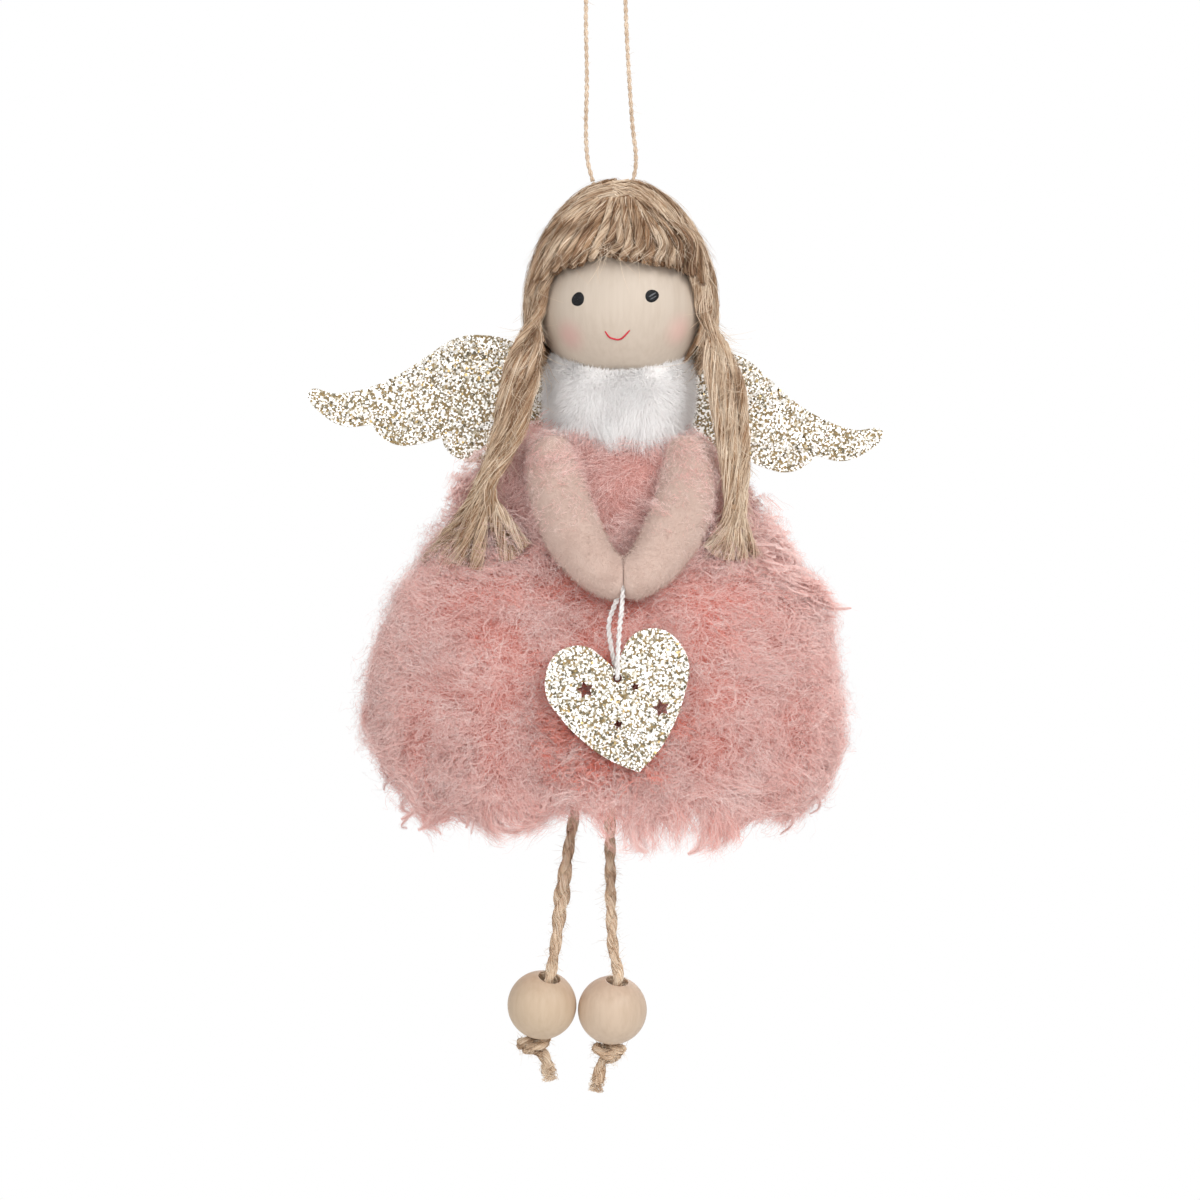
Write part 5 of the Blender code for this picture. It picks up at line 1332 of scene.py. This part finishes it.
def tufts(rng, roots, out, down, *, length, per_tuft, spread, rise, fall, curl, turns, tight, frizz, steps, swirl):
    """Fibres in soft curling tufts whose lie swirls over the cloth. Returns them and their facing."""
    count = len(roots)
    s = np.linspace(0, 1, steps)
    side = np.cross(out, down)
    lie = swirl * drift(roots, rng, 17.0)[:, None]
    lay = np.cos(lie) * down + np.sin(lie) * side
    size = length * (1 + 0.16 * drift(roots, rng, 12.0)) * rng.uniform(0.75, 1.2, count)
    lean = rng.normal(0, 0.22, count)
    rise = rise * rng.uniform(0.7, 1.25, count)
    path = roots[:, None] + size[:, None, None] * (
        out[:, None] * (rise[:, None] * np.sin(0.5 * np.pi * s) ** 0.8 * (1 - 0.2 * s))[..., None]
        + lay[:, None] * (fall * s ** 1.25)[None, :, None]
        + side[:, None] * (lean[:, None] * s)[..., None])
    radius = curl * rng.uniform(0.35, 1.4, count)
    wind = rng.uniform(*turns, count) * rng.choice((-1, 1), count)
    angle = rng.uniform(0, 2 * np.pi, count)[:, None] + 2 * np.pi * wind[:, None] * s ** 1.15
    grow = radius[:, None] * s ** 0.8
    guide = path + (grow * np.cos(angle))[..., None] * side[:, None] + (grow * np.sin(angle))[..., None] * (
        0.5 * out + 0.5 * down)[:, None]
    apart = rng.normal(0, spread, (count, per_tuft, 2))
    offset = apart[..., :1] * side[:, None] + apart[..., 1:] * down[:, None]
    inside = rng.normal(0, 0.3, (count, per_tuft, 3))
    pull = (tight * s ** 0.8)[None, None, :, None]
    lines = guide[:, None] + offset[:, :, None] * (1 - pull) + inside[:, :, None] * pull
    waves = rng.uniform(1.0, 3.2, (count, per_tuft, 1, 3))
    start = rng.uniform(0, 2 * np.pi, (count, per_tuft, 1, 3))
    wiggle = np.sin(2 * np.pi * waves * s[None, None, :, None] + start) * s[None, None, :, None] ** 0.6
    lines = lines + frizz * rng.uniform(0.4, 1.6, (count, per_tuft, 1, 1)) * wiggle
    order = rng.permutation(count * per_tuft)
    return trimmed(lines.reshape(-1, steps, 3)[order], rng), np.repeat(out, per_tuft, axis=0)[order]


def spread_over(rng, count, low, high):
    """Angles and heights spread evenly over a band of the dress."""
    k = np.arange(count)
    heights = np.linspace(high, low, 200)
    around = np.interp(-heights, -DRESS_RINGS[:, 0], DRESS_RINGS[:, 1] + DRESS_RINGS[:, 2])
    share = np.cumsum(around)
    z = np.interp((k * 0.5698403 + rng.random()) % 1.0, (share - share[0]) / (share[-1] - share[0]), heights)
    return 2 * np.pi * ((k * 0.7548777 + rng.random()) % 1.0) + rng.normal(0, 0.02, count), z


def dress_tufts(rng, count, low, high, inset, kind):
    """Tufts spread evenly over a band of the dress. Returns their fibres and facing."""
    angle, z = spread_over(rng, count, low, high)
    return tufts(rng, *dress_place(angle, z, inset), **kind)


# Places on the front, as x, height, reach and share, where the fur takes deep pink as painted shade between other
# pieces
PAINTED_SHADE_PLACES = ((-3.0, -166.0, 14.0, 0.9), (2.0, -144.5, 8.0, 0.8), (-11.5, -131.0, 6.0, 0.7),
               (-5.5, -139.0, 6.0, 0.8), (13.5, -136.0, 6.0, 0.7), (25.0, -146.0, 8.0, 0.6),
               (-26.0, -138.5, 9.0, 0.4))


def add_fur(name, lines, facing, width, rng, pale=FUR_SHADES, deep=(FUR_PAINTED_SHADE, FUR_DEEP_SHADE)):
    """Fur with roots in deep tones as painted shade inside the fur, and pale tips; deep throughout as painted
    shade between other pieces, and in a scattering of fibres elsewhere.
    """
    roots = lines[:, 0]
    # Painted shade: more deep fibres where other pieces shade the fur, a scattering of them elsewhere
    painted_shade = 0.04 + 0.12 * drift(roots, rng, 14.0)
    for x, z, reach, share in PAINTED_SHADE_PLACES:
        away = np.hypot(roots[:, 0] - x, roots[:, 2] - z)
        painted_shade = np.maximum(painted_shade, share * np.clip(1.3 - away / reach, 0, 1) * (roots[:, 1] < 0))
    warm = rng.random(len(roots)) < painted_shade
    facing = lit_way(facing, 0.4)
    steps = lines.shape[1]
    near_root = max(3, steps // 3)
    wide = width * thin_ends(steps)
    # Roots in the deep tones: painted shade inside the fur
    add_fibres(f"{name}_root", lines[:, :near_root], wide[:near_root], deep, "doll", rng,
               facing=facing)
    for label, pick, shades in (("", ~warm, pale), ("_painted_shade", warm, deep)):
        add_fibres(name + label, lines[pick][:, near_root - 1:], wide[near_root - 1:], shades,
                   "doll", rng, facing=facing[pick])


def make_skirt(rng):
    """The skirt's backing and its fur: the coat, deep pink fur behind the heart as painted shade, the hem and the
    loose haze.
    """
    heights = np.linspace(-134.6, -186.0, 14)
    sheet = dress_sheet("skirt_backing", heights, BACKING_DEPTH, 144, FUR_BACKING)
    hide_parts("dress_skirt")
    root_depth = BACKING_DEPTH - 0.4
    add_fur("skirt_fur", *dress_tufts(rng, 4300, -186.0, -132.0, root_depth, SKIRT_TUFTS), FUR_FIBRE, rng)
    # Deep pink fur reaching up behind the heart: painted shade seen through its star holes
    place = np.column_stack([rng.uniform(-15.0, 14.0, 300), rng.uniform(-180.0, -156.0, 300)])
    angle = 1.5 * np.pi + (place[:, 0] - DRESS_X) / 44.0
    painted_shade, facing = tufts(rng, *dress_place(angle, place[:, 1], root_depth), **PAINTED_SHADE_TUFTS)
    add_fibres("painted_shade_fur", painted_shade, 0.085, (FUR_PAINTED_SHADE,), "doll", rng,
               facing=lit_way(facing, 0.1), soft=0.8)
    add_fur("hem_fur", *dress_tufts(rng, 900, -188.0, -177.0, root_depth, HEM_TUFTS), 0.07, rng)
    haze, facing = dress_tufts(rng, 9500, -188.0, -128.0, BACKING_DEPTH - 2.5, HAZE_TUFTS)
    add_fibres("skirt_haze", haze, 0.055 * thin_ends(HAZE_TUFTS["steps"]), (FUR_PALE, FUR_MID),
               "doll", rng, facing=lit_way(facing, 0.4))
    make_ringlets(rng)
    make_curls(rng)


# Ringlets at the dress's edge, as the points of their middle lines and a thickness
RINGLETS = (
    (((-45.0, -6.0, -163.5), (-49.0, -5.0, -164.6), (-52.3, -4.0, -167.0), (-52.6, -4.5, -170.4),
      (-50.6, -5.5, -172.4), (-48.6, -5.0, -171.4)), 1.5),
    (((-44.5, -8.0, -170.0), (-47.4, -8.0, -171.6), (-49.2, -7.5, -174.2), (-47.8, -8.0, -176.4),
      (-45.4, -8.2, -175.4), (-45.6, -8.2, -173.2)), 1.2),
    (((-44.0, -9.0, -175.0), (-46.8, -9.0, -176.2), (-48.3, -8.6, -178.4), (-46.6, -9.0, -179.8),
      (-44.0, -9.4, -178.8)), 0.9),
    (((-35.5, -16.0, -173.0), (-38.5, -16.6, -177.6), (-40.8, -16.6, -182.0), (-40.4, -16.4, -186.2),
      (-41.8, -16.0, -189.0), (-44.2, -15.8, -190.4)), 1.7),
    (((-34.0, -17.0, -174.0), (-36.6, -17.2, -179.0), (-38.0, -17.0, -184.0), (-37.2, -16.8, -188.4),
      (-38.6, -16.4, -191.4), (-40.6, -16.2, -192.6)), 1.7),
    (((-27.0, -21.0, -175.0), (-26.6, -21.6, -179.6), (-27.4, -21.6, -182.8), (-30.8, -21.2, -183.2),
      (-33.0, -20.6, -184.6), (-31.6, -20.6, -187.0), (-29.6, -20.6, -189.0), (-30.2, -20.4, -192.0)), 1.3),
    (((-25.0, -23.0, -182.0), (-24.6, -23.4, -187.6), (-22.6, -23.4, -191.8), (-19.4, -23.2, -192.6),
      (-17.2, -23.0, -190.8)), 1.2),
    (((30.0, -13.0, -135.0), (35.0, -12.0, -138.6), (40.5, -10.6, -142.0), (45.5, -9.4, -144.2),
      (49.5, -8.6, -145.4), (52.4, -8.0, -145.2)), 1.2),
    (((31.0, -13.0, -139.0), (36.0, -12.0, -141.4), (41.0, -10.6, -144.4), (45.5, -9.4, -146.6),
      (49.0, -8.6, -147.2)), 1.2),
    (((36.0, -10.0, -133.0), (38.6, -9.4, -133.6), (40.4, -9.0, -135.2), (39.4, -8.8, -137.0),
      (37.4, -9.0, -136.6)), 0.7),
    (((33.0, -19.0, -157.0), (36.0, -19.0, -156.2), (38.0, -18.6, -158.2), (36.4, -18.6, -160.2),
      (33.6, -19.0, -159.6)), 0.8),
    (((41.0, -10.0, -180.0), (42.4, -10.0, -184.0), (41.6, -10.0, -187.4), (39.4, -10.0, -188.6)), 1.4),
    (((19.0, -25.0, -186.0), (20.4, -25.6, -191.0), (19.2, -25.8, -195.6), (16.8, -25.6, -197.2)), 1.5),
    (((6.0, -27.0, -186.0), (4.6, -27.6, -190.6), (5.8, -27.8, -195.0), (8.2, -27.4, -196.8)), 1.6))


RINGLET_STEPS = 20  # points along a curl
RINGLET_FIBRES = 44  # in a loose curl
LOOSE_RINGLETS = 60
RINGLETS_BEHIND = 44  # of the loose ones


def ringlet(rng, path, thick, count, ends):
    """A curl of count fibres that narrows along its path; ends gives its start, waist, body and tip."""
    width = thick * np.interp(np.linspace(0, 1, len(path)), (0, 0.25, 0.8, 1.0), ends)
    return yarn(rng, path, width, count, rng.uniform(0.2, 0.8), 0.75, astray=0.5)


def make_ringlets(rng):
    """Single curls at the hem and the edges of the dress, more of them behind and at the sides."""
    lines, facing = [], []
    for route, thick in RINGLETS:
        path = resampled(smooth_route(route, 0.4), RINGLET_STEPS)
        count = int(30 + 70 * thick)
        lines.append(ringlet(rng, path, thick, count, (0.9, 0.55, 0.42, 0.16)))
        facing.append(np.tile(unit(path[10:11] * (1, 1, 0) + (0, -12, 0)), (count, 1)))
    s = np.linspace(0, 1, RINGLET_STEPS)
    for k in range(LOOSE_RINGLETS):
        angle = rng.uniform(-0.15, np.pi + 0.15) if k < RINGLETS_BEHIND else rng.uniform(np.pi, 2 * np.pi)
        z = rng.uniform(-187, -172)
        root, out, down = (v[0] for v in dress_place(np.array([angle]), np.array([z]), 2.0))
        turn = rng.uniform(0, 6) + 2 * np.pi * rng.uniform(0.8, 1.7) * s
        size = rng.uniform(1.0, 2.0) * s ** 0.7
        path = (root + np.outer(rng.uniform(6, 10) * s, down) + np.outer(2.6 * np.sin(2 * s), out)
                + np.outer(size * np.cos(turn), np.cross(out, down)) + np.outer(0.7 * size * np.sin(turn), out))
        lines.append(ringlet(rng, path, rng.uniform(0.5, 1.1), RINGLET_FIBRES, (1.0, 0.7, 0.5, 0.2)))
        facing.append(np.tile(out, (RINGLET_FIBRES, 1)))
    add_fibres("ringlet_fur", np.vstack(lines), 0.06 * thin_ends(RINGLET_STEPS), FUR_SHADES[:5],
               "doll", rng, facing=lit_way(np.vstack(facing)))


# Places where curls gather, as a point, their spread there, the way they run and their number
CURL_PLACES = (((31.0, -13.0, -134.0), (1.5, 1.5, 3.2), (16.0, 4.0, -10.0), 130),
               ((31.0, -11.0, -126.0), (1.6, 2.0, 3.0), (6.0, 2.0, -5.0), 40),
               ((-28.0, -8.0, -114.0), (2.0, 2.0, 3.0), (-3.5, 1.0, -6.0), 46),
               ((26.0, -14.0, -143.0), (4.0, 1.5, 3.0), (3.0, -2.0, -7.0), 40))


CURLS_ROUND = 760
CURLS_AT_SIDES = 150
CURL_STEPS = 18  # points along a curl
CURL_FIBRES = 9  # in a curl


def make_curls(rng):
    """Loose curling locks that lie on the fur all round and stand out at the dress's sides."""
    angle, z = spread_over(rng, CURLS_ROUND, -186.0, -131.0)
    edge = rng.choice((0.0, np.pi), CURLS_AT_SIDES, p=(0.4, 0.6)) + rng.normal(0, 0.28, CURLS_AT_SIDES)
    angle, z = np.append(angle, edge), np.append(z, rng.uniform(-187.0, -110.0, CURLS_AT_SIDES))
    at_edge = np.arange(len(angle)) >= CURLS_ROUND
    roots, out, down = dress_place(angle, z, 1.2)
    side = np.cross(out, down)
    lie = rng.normal(0, 1.1 - 0.5 * at_edge)[:, None]
    lays = np.cos(lie) * down + np.sin(lie) * side
    for middle, spread, way, count in CURL_PLACES:
        share = rng.uniform(0, 1, (count, 1))
        about = rng.normal(0, 1, (count, 3)) * spread * (1.1 - share)
        roots = np.vstack([roots, middle + share * np.array(way) + about])
        lays = np.vstack([lays, unit(np.array(way) + rng.normal(0, 4.5, (count, 3)))])
        out = np.vstack([out, np.tile((0.35 * np.sign(way[0]), -0.92, 0.1), (count, 1))])
        at_edge = np.append(at_edge, np.ones(count))
    s = np.linspace(0, 1, CURL_STEPS)
    lines = []
    for root, o, lay, big in zip(roots, out, lays, at_edge * 1.0):
        cross = unit(np.cross(o, lay))
        turn = rng.uniform(0, 6) + 2 * np.pi * rng.uniform(0.6, 1.9) * s
        size = (rng.uniform(0.5, 1.3) + 0.5 * big) * s ** 0.5
        rise = rng.uniform(0.6, 2.2) + big * rng.uniform(0.4, 2.4)
        path = (root + np.outer((rng.uniform(4.5, 8.5) - 1.5 * big) * s, lay) + np.outer(rise * np.sin(2.4 * s), o)
                + np.outer((1 - 0.6 * big) * size * np.cos(turn), cross)
                + np.outer((0.5 + 0.4 * big) * size * np.sin(turn), o)
                + np.outer((0.5 + 0.4 * big) * size * np.sin(turn + 1.5 * big), lay))
        width = rng.uniform(0.22, 0.45) * np.interp(s, (0, 0.25, 0.8, 1.0), (1.3, 0.9, 0.7, 0.3))
        lines.append(yarn(rng, path, width, CURL_FIBRES, rng.uniform(0.2, 0.8), 0.5, astray=0.4))
    lines = trimmed(np.vstack(lines), rng)
    add_fibres("curl_fur", lines, 0.065 * thin_ends(CURL_STEPS), CURL_SHADES, "doll", rng,
               facing=lit_way(np.repeat(out, CURL_FIBRES, axis=0)), soft=0.4)


# The wing plate lies on the bodice behind this plane and above this height
WING_CONTACT_Y = 15.8
WING_CONTACT_Z = -117.0


def make_bodice(rng):
    """The bodice's backing and its shorter fur, left out behind under the wings."""
    heights = np.linspace(-108.4, -134.9, 8)
    sheet = dress_sheet("bodice_backing", heights, 2.4, 120, DUSK_BACKING)
    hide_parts("dress_bodice")
    angle, z = spread_over(rng, 2600, -138.0, -105.5)
    roots, out, down = dress_place(angle, z, 2.0)
    keep = (roots[:, 1] < WING_CONTACT_Y) | (roots[:, 2] < WING_CONTACT_Z)
    fur, facing = tufts(rng, roots[keep], out[keep], down[keep], **BODICE_TUFTS)
    # Dusk and warm tones at the roots: painted shade inside the bodice's fur
    add_fur("bodice_fur", fur, facing, FUR_FIBRE, rng, (FUR_DUSK, FUR_MID, FUR_DUSK, FUR_PALE, FUR_DUSK),
            (FUR_DUSK, FUR_WARM))


# Stuffed body: height, half width and half depth
BODY_X = 1.2
BODY_PLEATS = 22
BODY_RINGS = np.array((
    (-93.0, 7.6, 7.6), (-106.0, 7.6, 7.6), (-111.0, 15.0, 8.6), (-117.0, 22.5, 10.4), (-124.0, 26.5, 12.2),
    (-134.0, 30.0, 14.2), (-143.0, 30.5, 14.6), (-150.0, 26.0, 12.6), (-154.0, 18.0, 9.0), (-155.4, 0.3, 0.2)))


def make_body():
    """The stuffed body, with its gathered bottom seam, seen from below."""
    steps = 96
    angle = np.linspace(0, 2 * np.pi, steps, endpoint=False)
    heights = np.concatenate([np.linspace(-97.5, -150.0, 30), np.linspace(-151, -155.4, 8)])
    wide, deep = at_height(BODY_RINGS, heights), at_height(BODY_RINGS, heights, 2)
    pleat = 1 - 0.02 * np.cos(BODY_PLEATS * angle)[None] * np.clip((-heights - 140) / 12, 0, 1)[:, None]
    points = np.stack([BODY_X + wide[:, None] * pleat * np.cos(angle), deep[:, None] * pleat * np.sin(angle),
                       np.repeat(heights[:, None], steps, 1)], -1)
    body = add_piece("body_felt", points.reshape(-1, 3), ring_faces(len(heights), steps), FELT,
                     "doll")
    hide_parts("body_core")


# Middle lines of the arms, from the shoulder to the hand
ARMS = {
    "left": ((-12.4, -10.6, -111.6), (-11.6, -14.2, -117.0), (-9.8, -19.4, -123.6), (-6.8, -25.0, -130.6),
             (-2.6, -29.8, -136.4), (2.0, -32.0, -139.4)),
    "right": ((17.4, -10.6, -111.6), (17.2, -14.2, -117.0), (16.0, -19.4, -123.4), (13.0, -25.0, -130.4),
              (8.8, -29.8, -136.4), (4.2, -32.0, -139.4)),
}


ARM_RADII = ((0, 0.2, 0.4, 0.6, 0.8, 1.0), (4.9, 5.9, 6.1, 6.1, 5.25, 4.3))  # by share of its length
ARM_PILE = 15000
SHOULDER_FUR_Z = -130.0  # the dress's hairs lie on the arms above this height


def make_arm(side, rng):
    """A stuffed fleece arm with its short fuzz, cut flat where it meets the other at the hands."""
    path = smooth_route(ARMS[side], 0.8)
    radii = np.interp(np.linspace(0, 1, len(path)), *ARM_RADII)
    start = path[0] + unit(path[0] - path[1]) * np.array((2.6, 2.2, 1.3))[:, None]
    tip = path[-1] + unit(path[-1] - path[-2]) * np.array((0.8, 1.7, 2.4, 2.8))[:, None]
    path = np.vstack([start, path, tip])
    radii = np.concatenate([(0.05, 2.6, 4.1), radii, (4.05, 3.6, 2.7, 0.05)])
    sign = -1 if side == "left" else 1
    points, faces = tubes(path[None], radii[None], 40)
    seam = HANDS[0] + sign * 0.05
    points[:, 0] = sign * np.maximum(sign * points[:, 0], sign * seam)
    arm = add_piece(f"arm_fleece_{side}", points, faces, FLEECE, "arms")
    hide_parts(f"arm_{side}")
    at = rng.integers(1, len(path) - 3, ARM_PILE)
    along, out = out_of(path, at, rng.uniform(0, 2 * np.pi, (ARM_PILE, 1)))
    places = path[at] + rng.uniform(-0.4, 0.4, (ARM_PILE, 1)) * along + out * radii[at][:, None]
    keep = sign * places[:, 0] > sign * (seam + sign * 0.1)
    make_pile(f"arm_fuzz_{side}", places[keep], out[keep], 0.5 * along[keep], 0.7, 0.06, 3,
              (FLEECE_FUZZ, FLEECE), "arms", rng, unruly=0.6)
    shade = np.clip((places[:, 2] + 133.0) / 20.0, 0, 1)
    pick = (rng.random(ARM_PILE) < 0.01 + 0.13 * shade ** 2) & (places[:, 2] > SHOULDER_FUR_Z)
    down = np.tile((0.0, -0.2, -1.0), (pick.sum(), 1))
    fuzz, facing = tufts(rng, places[pick] - out[pick] * 0.4, out[pick], down, **SHOULDER_TUFTS)
    add_fibres(f"shoulder_fur_{side}", fuzz, 0.06 * thin_ends(SHOULDER_TUFTS["steps"]), (FUR_PALE, FUR_MID),
               "arms", rng, facing=lit_way(facing))


# Beads


BEAD_TONES = {"left": ((192, 168, 142), (203, 181, 156)), "right": ((195, 172, 149), (206, 184, 162))}


def make_beads():
    """The two bored wooden foot beads."""
    for side, tones in BEAD_TONES.items():
        facts = BEADS[side]
        axis = unit(np.array(facts["axis"]))
        across = unit(np.cross(axis, (0, 1, 0)))
        points, faces = bored_ball(BEAD_RADIUS, BORE_RADIUS, 96)
        turned_points = points[:, :1] * across + points[:, 1:2] * np.cross(axis, across) + points[:, 2:] * axis
        bead = add_piece(f"bead_wood_{side}", turned_points + facts["bead"], faces,
                         wood(f"bead_{side}", *tones, (1.0, 1.0, 0.12), (), 0.02), f"bead_{side}")
        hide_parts(f"foot_bead_{side}")


def golden_wings(places):
    """Share of gold in the wings' glitter, most on the left wing where it meets the hair."""
    left = np.clip(1 - np.abs(places[:, 0] + 24) / 14, 0, 1)
    return left + 0.3 * np.clip(1 - np.abs(places[:, 0] - 24) / 9, 0, 1)


make_camera()
make_world()
for lamp, facts in LAMPS.items():
    area_light(lamp, *facts)
make_floor()
make_hanging_loop(np.random.default_rng(1))
for leg_side, seed in (("left", 2), ("right", 3)):
    make_leg(leg_side, np.random.default_rng(seed))
make_heart_cord(np.random.default_rng(4))
make_loop_anchor(np.random.default_rng(5))
make_face(np.random.default_rng(6))
make_cap(np.random.default_rng(7))
make_fringe(np.random.default_rng(9))
for tail_side, seed in (("left", 10), ("right", 11)):
    make_tail(tail_side, np.random.default_rng(seed))
make_collar(np.random.default_rng(12))
make_skirt(np.random.default_rng(13))
make_bodice(np.random.default_rng(14))
make_body()
for arm_side, seed in (("left", 16), ("right", 17)):
    make_arm(arm_side, np.random.default_rng(seed))
make_glitter("heart", "heart", np.random.default_rng(18), lambda places: 0.0 * places[:, 0])
make_glitter("wings", "doll", np.random.default_rng(19), golden_wings)
make_beads()

bpy.context.scene.view_settings.view_transform = "Standard"
